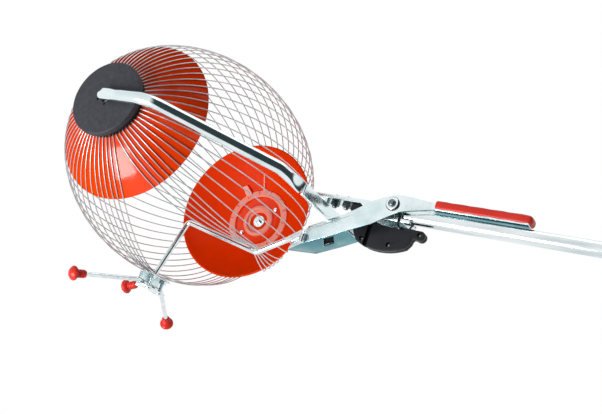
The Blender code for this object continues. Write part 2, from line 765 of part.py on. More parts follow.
def build_arm(label, side):
    """A tube, pressed flat where it carries the axle and again where it meets the crossbar."""
    mid = PAD_MIDDLE
    strip_end = Vector((STRIP_HALF_SPAN, STRIP_REACH, -STRIP_DROP))
    corners = [
        Vector((ARM_OUT, 0.024, 0.0)),
        Vector((ARM_OUT, ARM_STRAIGHT, 0.0)),
        ARM_KNEE,
        strip_end,
    ]
    bends = bent_path(corners, [ARM_BEND_RADIUS, 0.030], 3)
    flat = PAD_THICKNESS / 2
    stations = [
        (Vector((mid, -PAD_HALF_WIDTH, 0)), PAD_HALF_WIDTH * 0.35, flat * 0.8),
        (Vector((mid, -PAD_HALF_WIDTH * 0.7, 0)), PAD_HALF_WIDTH * 0.8, flat),
        (Vector((mid, 0.0, 0.0)), PAD_HALF_WIDTH, flat),
        (Vector((mid, PAD_HALF_WIDTH, 0.0)), PAD_HALF_WIDTH, flat),
    ]
    stations += [(p, ARM_RADIUS, ARM_RADIUS) for p in bends[:-1]]
    last = bends[-2].lerp(strip_end, 0.55)
    stations.append((last, ARM_RADIUS, ARM_RADIUS))
    stations.append((strip_end + (last - strip_end).normalized() * 0.004, STRIP_HALF_HEIGHT,
                     STRIP_THICKNESS / 2))
    placed = [(SPIN_CENTRE + Vector((side * c.x, c.y, c.z)), a, b) for c, a, b in stations]
    arm = loft(label + "_yoke_arm", placed, ZINC_STEEL, 10)
    hole = cylinder(label + "_axle_hole", AXLE_RADIUS + GAP, PAD_INSIDE - 0.004,
                    PAD_OUTSIDE + 0.004, along_x(SPIN_CENTRE, side), collection=CUTTERS)
    combine(arm, hole)
    tube_clip = PRONG_RADIUS
    pin_inner = BOWL_FLOOR - BOWL_WALL - RING_THICKNESS - tube_clip
    cylinder(label + "_axle_pin", AXLE_RADIUS, pin_inner, PAD_OUTSIDE, along_x(SPIN_CENTRE, side),
             ZINC_STEEL)


def build_crossbar():
    """The flat middle of the yoke, with the tab that the bracket is bolted to."""
    end = STRIP_HALF_SPAN - 0.004 - GAP
    half = STRIP_THICKNESS / 2
    bar = box("yoke_crossbar", (-end, STRIP_REACH - half, -STRIP_DROP - STRIP_HALF_HEIGHT),
              (end, STRIP_REACH + half, -STRIP_DROP + STRIP_HALF_HEIGHT), ZINC_STEEL)
    round_edges(bar, 0.0018, 2)
    top = BRACKET_TOP - BRACKET_SHEET - GAP
    half_tab = BRACKET_INSIDE - GAP
    tab = box("crossbar_tab", (-half_tab, STRIP_REACH - half + 0.001, top - TAB_THICKNESS),
              (half_tab, TAB_END, top))
    riser = box("crossbar_riser", (-half_tab, STRIP_REACH - half + 0.001, -STRIP_DROP),
                (half_tab, STRIP_REACH + half - 0.001, top - 0.001))
    combine(bar, riser, "UNION")
    combine(bar, tab, "UNION")
    for k, reach in enumerate(bracket_bolt_reaches()):
        hole = cylinder(f"tab_hole_{k}", TAB_BOLT_RADIUS + GAP, -0.03, 0.03,
                        Matrix.Translation(from_cage(0, reach, 0)), collection=CUTTERS)
        combine(bar, hole)


def bracket_bolt_reaches():
    first = STRIP_REACH + STRIP_THICKNESS / 2 + TAB_FRONT_MARGIN
    return (first, first + TAB_BOLT_SPACING)


def build_bracket():
    """A folded channel, deeper at the rear where it wraps the front of the handle tube."""
    low = BRACKET_TOP - BRACKET_FLANGE
    deep = BRACKET_DEEP
    ear = [
        quadrant_point(math.radians(degrees), BRACKET_EAR_RADIUS)
        for degrees in (20, 50, 90, 130, 160)
    ]
    rear_top = BRACKET_TOP - 0.002
    outline = [
        (BRACKET_FRONT, low),
        (PIVOT_REACH - 0.022, low),
        (PIVOT_REACH - 0.010, deep),
        (BRACKET_REAR, deep),
        (BRACKET_REAR, rear_top),
        *ear,
        (BRACKET_FRONT, BRACKET_TOP),
    ]
    bracket = side_plate("yoke_bracket", outline, -BRACKET_OUTSIDE, BRACKET_OUTSIDE, ZINC_STEEL)
    web_end = PIVOT_REACH - 0.018
    inside_top = BRACKET_TOP - BRACKET_SHEET
    above = BRACKET_TOP + 0.02
    wrap_front = TUBE_FRONT + 0.003
    inner = [
        (BRACKET_FRONT - 0.01, low - 0.02),
        (wrap_front, low - 0.02),
        (wrap_front, deep + BRACKET_SHEET),
        (BRACKET_REAR + 0.01, deep + BRACKET_SHEET),
        (BRACKET_REAR + 0.01, above),
        (web_end, above),
        (web_end, inside_top),
        (BRACKET_FRONT - 0.01, inside_top),
    ]
    combine(bracket, side_plate("bracket_inside", inner, -BRACKET_INSIDE, BRACKET_INSIDE,
                                collection=CUTTERS))
    pivot = along_x(from_cage(0, PIVOT_REACH, -PIVOT_DROP))
    combine(bracket, cylinder("bracket_pivot_hole", PIVOT_RADIUS + GAP, -0.03, 0.03, pivot,
                              collection=CUTTERS))
    for k, reach in enumerate(bracket_bolt_reaches()):
        hole = cylinder(f"bracket_hole_{k}", TAB_BOLT_RADIUS + GAP, -0.012, 0.01,
                        Matrix.Translation(from_cage(0, reach, 0)), collection=CUTTERS)
        combine(bracket, hole)


def build_bracket_bolts():
    top = -(BRACKET_SHEET + TAB_THICKNESS + 3 * GAP)
    for k, reach in enumerate(bracket_bolt_reaches(), start=1):
        seat = Matrix.Translation(from_cage(0, reach, BRACKET_TOP + GAP))
        bolt(f"bracket_bolt_{k}", TAB_BOLT_RADIUS, 0.0052, 0.003, 0.0135, seat, ZINC_STEEL, 10)
        nut(f"bracket_nut_{k}", TAB_BOLT_RADIUS + GAP, 0.0056, top - 0.005, top, seat,
            ZINC_STEEL)


def build_axle_fittings(label, side):
    low = HUB_FACE + 2 * GAP
    clip_top = BOWL_FLOOR - BOWL_WALL - GAP
    place = along_x(SPIN_CENTRE, side)
    tube_between(label + "_axle_washer", WASHER_RADIUS, AXLE_RADIUS + GAP, low,
                 low + AXLE_SPACER, place, ZINC_STEEL, 12)
    tube_between(label + "_axle_clip", WASHER_RADIUS, AXLE_RADIUS + GAP,
                 clip_top - WASHER_THICKNESS, clip_top, place, ZINC_STEEL, 12)


# Handle

def handle_place():
    return along_y(from_cage(0, 0, -HANDLE_DROP))


def build_handle():
    bore = TUBE_RADIUS - TUBE_WALL
    plug_radius = bore - GAP
    place = handle_place()
    tube_between("handle_tube", TUBE_RADIUS, bore, TUBE_FRONT, TUBE_REAR, place, ZINC_STEEL, 20)
    plug = [
        (0.0, TUBE_FRONT + PLUG_DEPTH),
        (plug_radius, TUBE_FRONT + PLUG_DEPTH),
        (plug_radius, TUBE_FRONT - GAP),
        (TUBE_RADIUS - 0.0005, TUBE_FRONT - GAP),
        (TUBE_RADIUS - 0.0005, TUBE_FRONT - PLUG_FLANGE),
        (0.0, TUBE_FRONT - PLUG_FLANGE),
    ]
    turned("tube_front_plug", plug, 16, BLACK_PLASTIC, place, False)
    sleeve = TUBE_RADIUS + GAP
    outer = sleeve + END_CAP_WALL
    end = TUBE_REAR + END_CAP_LENGTH - PLUG_DEPTH
    cap = [
        (0.0, end),
        (outer - 0.0025, end),
        (outer, end - 0.0025),
        (outer, TUBE_REAR - END_CAP_OVERLAP),
        (sleeve, TUBE_REAR - END_CAP_OVERLAP),
        (sleeve, TUBE_REAR + GAP),
        (0.0, TUBE_REAR + GAP),
    ]
    turned("handle_end_cap", cap, 20, BLACK_PLASTIC, place, False)


# Quadrant housing

ARC_START = math.radians(-135.0)
ARC_END = math.radians(-58.0)
LUG_CENTRE = Vector((PIVOT_REACH + LUG_SETBACK, -PIVOT_DROP - LUG_DROP))


def quadrant_point(angle, radius=QUADRANT_RADIUS):
    return (PIVOT_REACH + radius * math.cos(angle), -PIVOT_DROP + radius * math.sin(angle))


def housing_outline():
    """The housing's side, anticlockwise: the quadrant's arc, the rear lug, the top, the neck."""
    arc = [quadrant_point(ARC_START + (ARC_END - ARC_START) * k / 9) for k in range(10)]
    lug = []
    for degrees in (-75, -30, 15, 60, 100):
        a = math.radians(degrees)
        lug.append((LUG_CENTRE.x + LUG_RADIUS * math.cos(a), LUG_CENTRE.y + LUG_RADIUS * math.sin(a)))
    flange_low = BRACKET_TOP - BRACKET_FLANGE - GAP
    neck_rear = PIVOT_REACH - 0.046
    return arc + lug + [
        (PIVOT_REACH + 0.026, -PIVOT_DROP - 0.0215),
        (PIVOT_REACH + 0.012, -PIVOT_DROP - 0.0155),
        (PIVOT_REACH - 0.016, -PIVOT_DROP - 0.0125),
        (neck_rear, flange_low),
        (PIVOT_REACH - QUADRANT_RADIUS, flange_low),
        quadrant_point(math.radians(199.3), 0.0604),
        quadrant_point(math.radians(213.1), 0.0585),
    ]


def housing_top(reach):
    """Height of the housing's upper edge behind the pivot."""
    outline = housing_outline()
    heights = []
    for (a, low), (b, high) in zip(outline, outline[1:]):
        if a > reach >= b and a > b:
            heights.append(low + (high - low) * (a - reach) / (a - b))
    return max(heights)


HOUSING_SCREWS = (
    quadrant_point(math.radians(-121.6), QUADRANT_RADIUS - 0.0066),
    quadrant_point(math.radians(-82.0), QUADRANT_RADIUS - 0.0100),
    tuple(LUG_CENTRE),
)


def build_shell(label, side):
    """One half of the housing: a side wall with its rim, which meets the other half's."""
    outline = housing_outline()
    inside = BRACKET_OUTSIDE + GAP
    low, high = sorted((side * GAP / 2, side * HOUSING_HALF_WIDTH))
    shell = side_plate(label + "_housing_shell", outline, low, high, BLACK_PLASTIC)
    low, high = sorted((-side * 0.001, side * inside))
    combine(shell, side_plate(label + "_housing_inside", inset(outline, HOUSING_WALL), low, high,
                              collection=CUTTERS))
    clear_x = sorted((-side * 0.001, side * inside))
    way_low = BRACKET_DEEP - HOUSING_BRACKET_ROOM
    combine(shell, box(label + "_bracket_way", (clear_x[0], PIVOT_REACH - 0.026, way_low),
                       (clear_x[1], BRACKET_REAR + 0.004, 0.01), None, CUTTERS))
    for k, (reach, height) in enumerate(HOUSING_SCREWS):
        place = along_x(from_cage(0, reach, height))
        boss_low, boss_high = sorted((side * GAP / 2, side * (inside + 0.001)))
        boss = cylinder(f"{label}_boss_{k}", HOUSING_SCREW_RADIUS + HOUSING_BOSS_WALL, boss_low, boss_high,
                        place, collection=CUTTERS, sides=8)
        combine(shell, boss, "UNION")
    for k, (reach, height) in enumerate(HOUSING_SCREWS):
        place = along_x(from_cage(0, reach, height))
        combine(shell, cylinder(f"{label}_screw_way_{k}", HOUSING_SCREW_RADIUS, -0.02, 0.02,
                                place, collection=CUTTERS, sides=8))
    neck_x = sorted((side * GAP / 2, side * (BRACKET_INSIDE - GAP)))
    neck_low = BRACKET_TOP - BRACKET_FLANGE - 0.004
    neck = box(label + "_neck", (neck_x[0], PIVOT_REACH - NECK_TO_PIVOT - NECK_LENGTH, neck_low),
               (neck_x[1], PIVOT_REACH - NECK_TO_PIVOT, BRACKET_TOP - BRACKET_SHEET - GAP), None,
               CUTTERS)
    combine(shell, neck, "UNION")


def build_housing():
    build_shell("near", 1)
    build_shell("far", -1)
    for k, (reach, height) in enumerate(HOUSING_SCREWS, start=1):
        head = along_x(from_cage(HOUSING_HALF_WIDTH + GAP, reach, height))
        bolt(f"housing_screw_{k}", HOUSING_SCREW_RADIUS - GAP, 0.0034, 0.0016,
             2 * HOUSING_HALF_WIDTH - 0.002, head, ZINC_STEEL, 8)


# Pivot and return spring

SPACER_INSIDE = BRACKET_OUTSIDE + GAP
SPACER_OUTSIDE = CHEEK_INSIDE - GAP


def build_pivot():
    place = along_x(from_cage(0, PIVOT_REACH, -PIVOT_DROP))
    washer_low = LEVER_HALF_WIDTH + GAP
    washer_high = washer_low + WASHER_THICKNESS
    head = place @ Matrix.Translation((0, 0, washer_high + GAP))
    nut_height = 0.005
    length = 2 * (washer_high + GAP) + nut_height + 0.002
    bolt("pivot_bolt", PIVOT_RADIUS, PIVOT_HEAD_RADIUS, 0.0032, length, head, ZINC_STEEL, 12)
    nut("pivot_nut", PIVOT_RADIUS + GAP, 0.0058, -washer_high - GAP - nut_height,
        -washer_high - GAP, place, ZINC_STEEL)
    for label, side in (("near", 1), ("far", -1)):
        across = along_x(from_cage(0, PIVOT_REACH, -PIVOT_DROP), side)
        tube_between(label + "_pivot_washer", PIVOT_WASHER_RADIUS, PIVOT_RADIUS + GAP, washer_low,
                     washer_high, across, ZINC_STEEL, 12)
        tube_between(label + "_pivot_bush", PIVOT_BUSH_RADIUS, PIVOT_RADIUS + GAP, SPACER_INSIDE,
                     SPACER_OUTSIDE, across, NYLON, 12)


def lever_floor(reach):
    """Height of the lever's lower edge at a reach, between its bends."""
    edge = lever_lower_edge()
    for (a, low), (b, high) in zip(edge, edge[1:]):
        if a <= reach <= b:
            return low + (high - low) * (reach - a) / (b - a)
    return edge[-1][1]


def least_gap(path, wire, apart):
    """The least gap between a wire's surfaces, at points at least a length apart along it."""
    travelled = [0.0]
    for a, b in zip(path, path[1:]):
        travelled.append(travelled[-1] + (b - a).length)
    gaps = [
        (path[i] - path[j]).length - wire
        for i in range(len(path))
        for j in range(i)
        if travelled[i] - travelled[j] > apart
    ]
    return min(gaps)


def build_spring():
    """A torsion spring round the near bush: its rear leg presses on the housing's top edge,
    its front leg on the lever's web."""
    radius = PIVOT_BUSH_RADIUS + 0.0004 + SPRING_WIRE / 2
    first_x = SPACER_INSIDE + SPRING_WIRE / 2 + GAP
    last_x = SPACER_OUTSIDE - SPRING_WIRE / 2 - GAP
    front_reach = PIVOT_REACH - SPRING_FRONT_REACH
    web_top = lever_floor(front_reach) + WEB_HEIGHT
    foot = Vector((-SPRING_FRONT_REACH, web_top + SPRING_WIRE + PIVOT_DROP))
    shoulder = Vector((SPRING_REAR_REACH - 0.0025, -0.004))
    start = math.atan2(shoulder.y, shoulder.x) + math.acos(radius / shoulder.length)
    end = math.atan2(foot.y, foot.x) - math.acos(radius / foot.length)
    while end - start < 1.5 * math.tau:
        end += math.tau
    seat = housing_top(PIVOT_REACH + SPRING_REAR_REACH) + SPRING_WIRE / 2 + GAP
    path = [
        Vector((first_x, SPRING_REAR_REACH, seat + PIVOT_DROP)),
        Vector((first_x, SPRING_REAR_REACH, shoulder.y - 0.0025)),
        Vector((first_x, shoulder.x, shoulder.y)),
    ]
    steps = 22
    for k in range(steps + 1):
        angle = start + (end - start) * k / steps
        x = first_x + (last_x - first_x) * k / steps
        path.append(Vector((x, radius * math.cos(angle), radius * math.sin(angle))))
    path.append(Vector((last_x, foot.x, foot.y)))
    gap = least_gap(path, SPRING_WIRE, math.pi * radius)
    print("return spring, least gap to itself:", round(gap * 1000, 2), "mm")
    centre = from_cage(0, PIVOT_REACH, -PIVOT_DROP)
    rod("return_spring", [[centre + p for p in path]], SPRING_WIRE / 2, SPRING_STEEL, 1)


# Lever and opener

def lever_bend(share, start, end, rise):
    """A bend of the lever's edge, as shares of the way from its taper to its bar."""
    reach = LEVER_TAPER_REACH + (LEVER_BAR_REACH - LEVER_TAPER_REACH) * share
    return (reach, start + (end - start) * rise)


def lever_lower_edge():
    """Bends of the lever's lower edge, from its tip to its rear, as (reach, height)."""
    taper = -LEVER_TAPER_DROP
    bar = LEVER_BAR_TOP - LEVER_BAR_HEIGHT
    bends = ((0.2207, 0.2101), (0.3793, 0.3782), (0.5379, 0.5322), (0.6483, 0.6863), (0.7448, 0.8123))
    return [
        (LEVER_TIP_REACH, -LEVER_TIP_DROP),
        (LEVER_TAPER_REACH, taper),
        *[lever_bend(share, taper, bar, rise) for share, rise in bends],
        (LEVER_BAR_REACH, bar),
        (LEVER_REAR, bar),
    ]


def lever_upper_edge():
    taper = -LEVER_TAPER_DROP + LEVER_TAPER_HEIGHT
    bends = ((0.7241, 1.0), (0.6414, 0.9691), (0.5103, 0.7804), (0.2897, 0.3859))
    return [
        (LEVER_REAR, LEVER_BAR_TOP),
        *[lever_bend(share, taper, LEVER_BAR_TOP, rise) for share, rise in bends],
        (LEVER_TAPER_REACH, taper),
        (LEVER_TIP_REACH, -LEVER_TIP_DROP + LEVER_TIP_HEIGHT),
    ]


def lever_plan(inwards):
    """The lever's plan from above, set in by the sheet for its inside."""
    wide = LEVER_HALF_WIDTH - inwards
    bar = LEVER_BAR_HALF_WIDTH - inwards
    tip_half = max(LEVER_TIP_HALF_WIDTH - inwards, 0.0)
    slope = (LEVER_TAPER_REACH - LEVER_TIP_REACH) / (LEVER_HALF_WIDTH - LEVER_TIP_HALF_WIDTH)
    tip = LEVER_TIP_REACH + inwards * math.sqrt(1 + slope * slope)
    if inwards:
        tip -= LEVER_TIP_HALF_WIDTH * slope
    side = [(tip_half, tip), (wide, LEVER_TAPER_REACH + inwards * 0.3),
            (wide, LEVER_NECK_REACH - inwards * 0.2), (bar, LEVER_BAR_REACH - inwards * 0.2),
            (bar, LEVER_REAR + inwards)]
    mirrored = [(-x, y) for x, y in reversed(side)]
    if inwards:
        mirrored = mirrored[:-1]
        side[0] = (0.0, tip)
    return side + mirrored


def web_rear():
    """Reach where the web ends, so that it swings clear of the quadrant's arc."""
    radius = QUADRANT_RADIUS + WEB_SWING_CLEARANCE
    reach = LEVER_TAPER_REACH
    while math.hypot(reach - PIVOT_REACH, lever_floor(reach) + WEB_HEIGHT + PIVOT_DROP) > radius:
        reach += 0.0002
    return reach - 0.0002


def build_lever():
    plan_place = Matrix.Translation(SPIN_CENTRE)
    lower, upper = lever_lower_edge(), lever_upper_edge()
    lever = side_plate("lever_channel", lower + upper, -0.03, 0.03, ZINC_STEEL)
    combine(lever, plate("lever_plan", lever_plan(0.0), -0.12, 0.05, plan_place,
                         collection=CUTTERS), "INTERSECT")
    web_end = web_rear()
    front_web = [(y, z + WEB_HEIGHT) for y, z in lower if y < web_end]
    front_web[0] = (LEVER_TIP_REACH - 0.01, front_web[0][1])
    cavity = front_web + [
        (web_end, lever_floor(web_end) + WEB_HEIGHT),
        (web_end, lever_floor(web_end) - 0.006),
        (PIVOT_REACH + 0.012, -0.06),
        (LEVER_BAR_REACH, -0.03),
        (LEVER_BAR_REACH, LEVER_BAR_TOP - LEVER_BAR_HEIGHT + LEVER_SHEET),
        (LEVER_REAR + 0.01, LEVER_BAR_TOP - LEVER_BAR_HEIGHT + LEVER_SHEET),
        (LEVER_REAR + 0.01, 0.03),
        (LEVER_TIP_REACH - 0.01, 0.03),
    ]
    inside = side_plate("lever_inside", cavity, -0.028, 0.028, collection=CUTTERS)
    combine(inside, plate("lever_inside_plan", lever_plan(LEVER_SHEET), -0.13, 0.06, plan_place,
                          collection=CUTTERS), "INTERSECT")
    combine(lever, inside)
    pivot = along_x(from_cage(0, PIVOT_REACH, -PIVOT_DROP))
    combine(lever, cylinder("lever_pivot_hole", PIVOT_RADIUS + GAP, -0.03, 0.03, pivot,
                            collection=CUTTERS))
    start = LEVER_TAPER_REACH + WINDOW_SETBACK
    end = start + WINDOW_LENGTH
    combine(lever, box("lever_window", (-WINDOW_WIDTH / 2, start, lever_floor(start) - 0.02),
                       (WINDOW_WIDTH / 2, end, lever_floor(end) + 3 * LEVER_SHEET), None, CUTTERS))


def build_lever_grip():
    clear = GAP
    half = LEVER_BAR_HALF_WIDTH + clear + GRIP_WALL
    top = LEVER_BAR_TOP + clear + GRIP_WALL
    low = LEVER_BAR_TOP - LEVER_BAR_HEIGHT - clear - GRIP_WALL
    end = LEVER_REAR + clear + GRIP_END_WALL
    grip = box("lever_grip", (-half, GRIP_START, low), (half, end, top), RED_RUBBER)
    round_edges(grip, GRIP_CORNER, 3)
    inner = LEVER_BAR_HALF_WIDTH + clear
    combine(grip, box("grip_inside", (-inner, GRIP_START - 0.01, low + GRIP_WALL),
                      (inner, LEVER_REAR + clear, top - GRIP_WALL), None, CUTTERS))


def build_opener_rod():
    """One bent rod: hooked on the near cheek, down to the valley, up to the apex, down to the foot."""
    taper = Vector((LEVER_HALF_WIDTH - LEVER_TIP_HALF_WIDTH, LEVER_TAPER_REACH - LEVER_TIP_REACH))
    run = taper.normalized()
    out = Vector((run.y, -run.x)) * (ROD_RADIUS + 2 * GAP)
    shoulder = Vector((LEVER_HALF_WIDTH, LEVER_TAPER_REACH)) + out + run * 0.002
    nose = Vector((LEVER_TIP_HALF_WIDTH, LEVER_TIP_REACH)) + out - run * 0.002
    hook = -LEVER_TAPER_DROP + ROD_HOOK_HEIGHT
    corners = [
        Vector((shoulder.x, shoulder.y, hook - ROD_STUB)),
        Vector((shoulder.x, shoulder.y, hook)),
        Vector((nose.x, nose.y, -LEVER_TIP_DROP + ROD_NOSE_HEIGHT)),
        ROD_VALLEY,
        ROD_APEX,
        ROD_FOOT,
    ]
    path = bent_path(corners, [0.0055, 0.012, 0.008, 0.006], 3)
    rod("opener_rod", [[SPIN_CENTRE + p for p in path]], ROD_RADIUS, ZINC_STEEL, 2)


# Foot

FOOT_WEB_FRONT = -PRONG_RADIUS - GAP - FOOT_SHEET - 0.001
FOOT_WEB_REAR = FOOT_WEB_FRONT + FOOT_SHEET
PRONG_AXIS = Vector((0.0, FOOT_WEB_REAR + GAP + PRONG_RADIUS,
                     FOOT_TOP - FOOT_SHEET - FOOT_INSIDE + GAP + PRONG_RADIUS))
FOOT_LOW = FOOT_TOP - 2 * FOOT_SHEET - FOOT_INSIDE


def foot_bolt_places():
    reach = PRONG_AXIS.y + PRONG_RADIUS + FOOT_BOLT_RADIUS + 0.0032
    return [from_cage(x, reach, 0) for x in (-0.0125, 0.0125)]


def build_foot_bracket():
    half = FOOT_LENGTH / 2
    rear = FOOT_WEB_FRONT + FOOT_DEPTH
    bracket = box("foot_bracket", (-half, FOOT_WEB_FRONT, FOOT_LOW), (half, rear, FOOT_TOP), ZINC_STEEL)
    combine(bracket, box("foot_inside", (-half - 0.01, FOOT_WEB_REAR, FOOT_LOW + FOOT_SHEET),
                         (half + 0.01, rear + 0.01, FOOT_TOP - FOOT_SHEET), None, CUTTERS))
    nut_top = FOOT_TOP - FOOT_SHEET - GAP
    for label, place in zip(("far", "near"), foot_bolt_places()):
        seat = Matrix.Translation(place)
        combine(bracket, cylinder(label + "_foot_hole", FOOT_BOLT_RADIUS + GAP, FOOT_LOW - 0.01,
                                  FOOT_TOP + 0.01, seat, collection=CUTTERS, sides=8))
        head = seat @ Matrix.Translation((0, 0, FOOT_LOW - GAP)) @ Matrix.Rotation(math.pi, 4, "X")
        bolt(label + "_foot_bolt", FOOT_BOLT_RADIUS, 0.0044, 0.0025, FOOT_TOP - FOOT_LOW + 0.0005,
             head, ZINC_STEEL, 8)
        nut(label + "_foot_nut", FOOT_BOLT_RADIUS + GAP, 0.0046, nut_top - 0.004, nut_top, seat,
            ZINC_STEEL)


def prong_ends(side):
    """Where a long prong leaves the middle of its rod, and where it ends in its tip."""
    start = PRONG_AXIS + Vector((side * PRONG_MIDDLE, 0, 0))
    tip = Vector((side * PRONG_TIP.x, PRONG_TIP.y, PRONG_TIP.z))
    direction = (tip - start).normalized()
    return start, tip, direction


def build_tip(name, head_centre, direction):
    """A rubber mushroom: a domed head and a ribbed neck with a blind socket."""
    head_low = -TIP_HEAD_LENGTH / 2
    neck_low = head_low - TIP_NECK_LENGTH
    socket = PRONG_RADIUS + GAP
    groove = TIP_NECK_RADIUS * 0.82
    pitch = TIP_NECK_LENGTH / (2 * TIP_RIBS + 1)
    ribs = []
    for k in range(TIP_RIBS):
        top = head_low - (2 * k + 1) * pitch
        ribs += [(TIP_NECK_RADIUS, top), (TIP_NECK_RADIUS, top - pitch * 0.9), (groove, top - pitch * 1.4)]
    profile = [
        (0.0, TIP_HEAD_LENGTH / 2),
        (TIP_HEAD_RADIUS * 0.62, TIP_HEAD_LENGTH * 0.38),
        (TIP_HEAD_RADIUS, TIP_HEAD_LENGTH * 0.02),
        (TIP_HEAD_RADIUS * 0.93, head_low * 0.8),
        (groove, head_low),
        *ribs,
        (groove, neck_low),
        (socket, neck_low),
        (socket, neck_low + TIP_SOCKET + GAP),
        (0.0, neck_low + TIP_SOCKET + GAP),
    ]
    return turned(name, profile, 10, RED_RUBBER, along(SPIN_CENTRE + head_centre, direction), False)


def rod_end(head_centre, direction):
    """Where a prong stops inside its tip's socket."""
    return head_centre - direction * (TIP_HEAD_LENGTH / 2 + TIP_NECK_LENGTH - TIP_SOCKET)


def build_prongs():
    near_start, near_tip, near_direction = prong_ends(1)
    far_start, far_tip, far_direction = prong_ends(-1)
    corners = [rod_end(far_tip, far_direction), far_start, near_start, rod_end(near_tip, near_direction)]
    path = bent_path(corners, [PRONG_BEND_RADIUS, PRONG_BEND_RADIUS], 3)
    rod("foot_cross_rod", [[SPIN_CENTRE + p for p in path]], PRONG_RADIUS, ZINC_STEEL, 2)
    root = Vector((0.0, FOOT_WEB_FRONT - GAP, FOOT_TOP - 0.010))
    direction = (SHORT_PRONG_TIP - root).normalized()
    lean = PRONG_RADIUS * abs(direction.z / direction.y)
    root = root + direction * lean
    rod("foot_front_prong", [[SPIN_CENTRE + root, SPIN_CENTRE + rod_end(SHORT_PRONG_TIP, direction)]],
        PRONG_RADIUS, ZINC_STEEL, 2)
    build_tip("near_tip", near_tip, near_direction)
    build_tip("far_tip", far_tip, far_direction)
    build_tip("front_tip", SHORT_PRONG_TIP, direction)


def joint_empties():
    """Empties on the two joints' axes."""
    for name, place in (("cage_spin_axis", SPIN_CENTRE),
                        ("lever_pivot_axis", from_cage(0, PIVOT_REACH, -PIVOT_DROP))):
        empty = bpy.data.objects.new(name, None)
        empty.location = place
        PARTS.objects.link(empty)


def main():
    build_wires()
    build_comb("far_comb_ring", -1, GREY_PLASTIC)
    for label, side in (("near", 1), ("far", -1)):
        build_hub(label, side)
        build_arm(label, side)
        build_axle_fittings(label, side)
    build_crossbar()
    build_bracket()
    build_bracket_bolts()
    build_handle()
    build_housing()
    build_pivot()
    build_spring()
    build_lever()
    build_lever_grip()
    build_opener_rod()
    build_foot_bracket()
    build_prongs()
    joint_empties()


main()
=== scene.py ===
"""Looks of the roller collector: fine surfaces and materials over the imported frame."""

from math import acos, asin, atan2, ceil, copysign, cos, hypot, pi, radians, sin, sqrt, tan, tau

import bmesh
import bpy
from mathutils import Matrix, Vector


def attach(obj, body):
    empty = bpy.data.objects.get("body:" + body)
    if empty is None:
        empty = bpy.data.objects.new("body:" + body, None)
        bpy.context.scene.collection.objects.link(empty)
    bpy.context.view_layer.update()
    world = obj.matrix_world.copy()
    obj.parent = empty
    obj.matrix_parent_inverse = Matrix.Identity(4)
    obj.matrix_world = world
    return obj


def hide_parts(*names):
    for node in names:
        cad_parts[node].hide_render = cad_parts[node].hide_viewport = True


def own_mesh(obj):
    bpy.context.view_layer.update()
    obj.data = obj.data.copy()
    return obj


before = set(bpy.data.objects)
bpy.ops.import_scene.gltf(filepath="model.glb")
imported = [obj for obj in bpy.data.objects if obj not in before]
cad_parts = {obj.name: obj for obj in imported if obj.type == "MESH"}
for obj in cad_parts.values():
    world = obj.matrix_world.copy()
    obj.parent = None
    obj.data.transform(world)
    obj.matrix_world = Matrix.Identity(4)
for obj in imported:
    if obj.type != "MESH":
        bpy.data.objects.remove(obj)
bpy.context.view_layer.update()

# Sizes in metres, from the cage's centre: the solids' own, or finer where the photograph shows it

GAP = 0.0003
CAGE_RADIUS = 0.150
CAGE_HALF_AXIS = 0.1987
WIRE_COUNT = 60
WIRE_RADIUS = 0.00075
SEAT_RADIUS = 0.0009
WIRE_PHASE = radians(-63.7)
WIRE_PITCH = tau / WIRE_COUNT
BUNDLE_PITCH = 0.0021
INNER_ROW_COUNT = 2
INNER_ROW_DEPTH = 0.0028
REAR_BUNDLE_START = 0.0075
ROD_RADIUS = 0.0035
BESIDE = ROD_RADIUS + SEAT_RADIUS + 0.0006
HUB_RADIUS = 0.0474
RING_RADIUS = 0.0452
HUB_FACE = 0.204
COMB_INNER = 0.0396
COMB_BACK = 0.196
COMB_BORE = 0.026
BOWL_REACH = 0.1426
RIM_TURN = asin(BOWL_REACH / CAGE_HALF_AXIS)
EDGE_TURN = acos((HUB_RADIUS + GAP) / CAGE_RADIUS)
END_TURN = acos(0.0401 / CAGE_RADIUS)
FREE_END = CAGE_HALF_AXIS * sin(EDGE_TURN)
BOWL_WALL = 0.0024
BOWL_HOLE = 0.0068
PIN_HOLES = ((-0.0107, -0.0030), (0.0021, -0.0082))
BOLT_HOLE = 0.0033
THREAD = 0.0005
SIDES = (("near", 1), ("far", -1))
PIVOT = Vector((0.0, 0.308, -0.010))
SPIN = Vector((0.0, -0.410, 0.0165))
HINGE = SPIN + PIVOT
FOOT_TOP = -0.153
VALLEY = Vector((0.0, 0.138, -0.095))
APEX = Vector((0.0, 0.022, -0.073))
SIDEWAYS = Matrix(((0, 0, 1, 0), (1, 0, 0, 0), (0, 1, 0, 0), (0, 0, 0, 1)))


def place(x, y, z):
    """A point given from the cage's centre."""
    return SPIN + Vector((x, y, z))


# Materials

def node(tree, kind, inputs=None, **settings):
    """A new shader node; inputs gives a socket its value or the socket that feeds it."""
    made = tree.nodes.new("ShaderNode" + kind)
    for key, value in settings.items():
        setattr(made, key, value)
    for key, value in (inputs or {}).items():
        if isinstance(value, bpy.types.NodeSocket):
            tree.links.new(value, made.inputs[key])
        else:
            made.inputs[key].default_value = value
    return made


def ramp(tree, source, stops):
    made = node(tree, "ValToRGB", {"Fac": source})
    elements = made.color_ramp.elements
    while len(elements) < len(stops):
        elements.new(0.5)
    for element, (position, colour) in zip(elements, stops):
        element.position = position
        element.color = (*colour, 1.0)
    return made.outputs["Color"]


def remap(tree, source, low, high, new_low, new_high):
    made = node(tree, "MapRange", {"Value": source, "From Min": low, "From Max": high,
                                   "To Min": new_low, "To Max": new_high})
    return made.outputs["Result"]


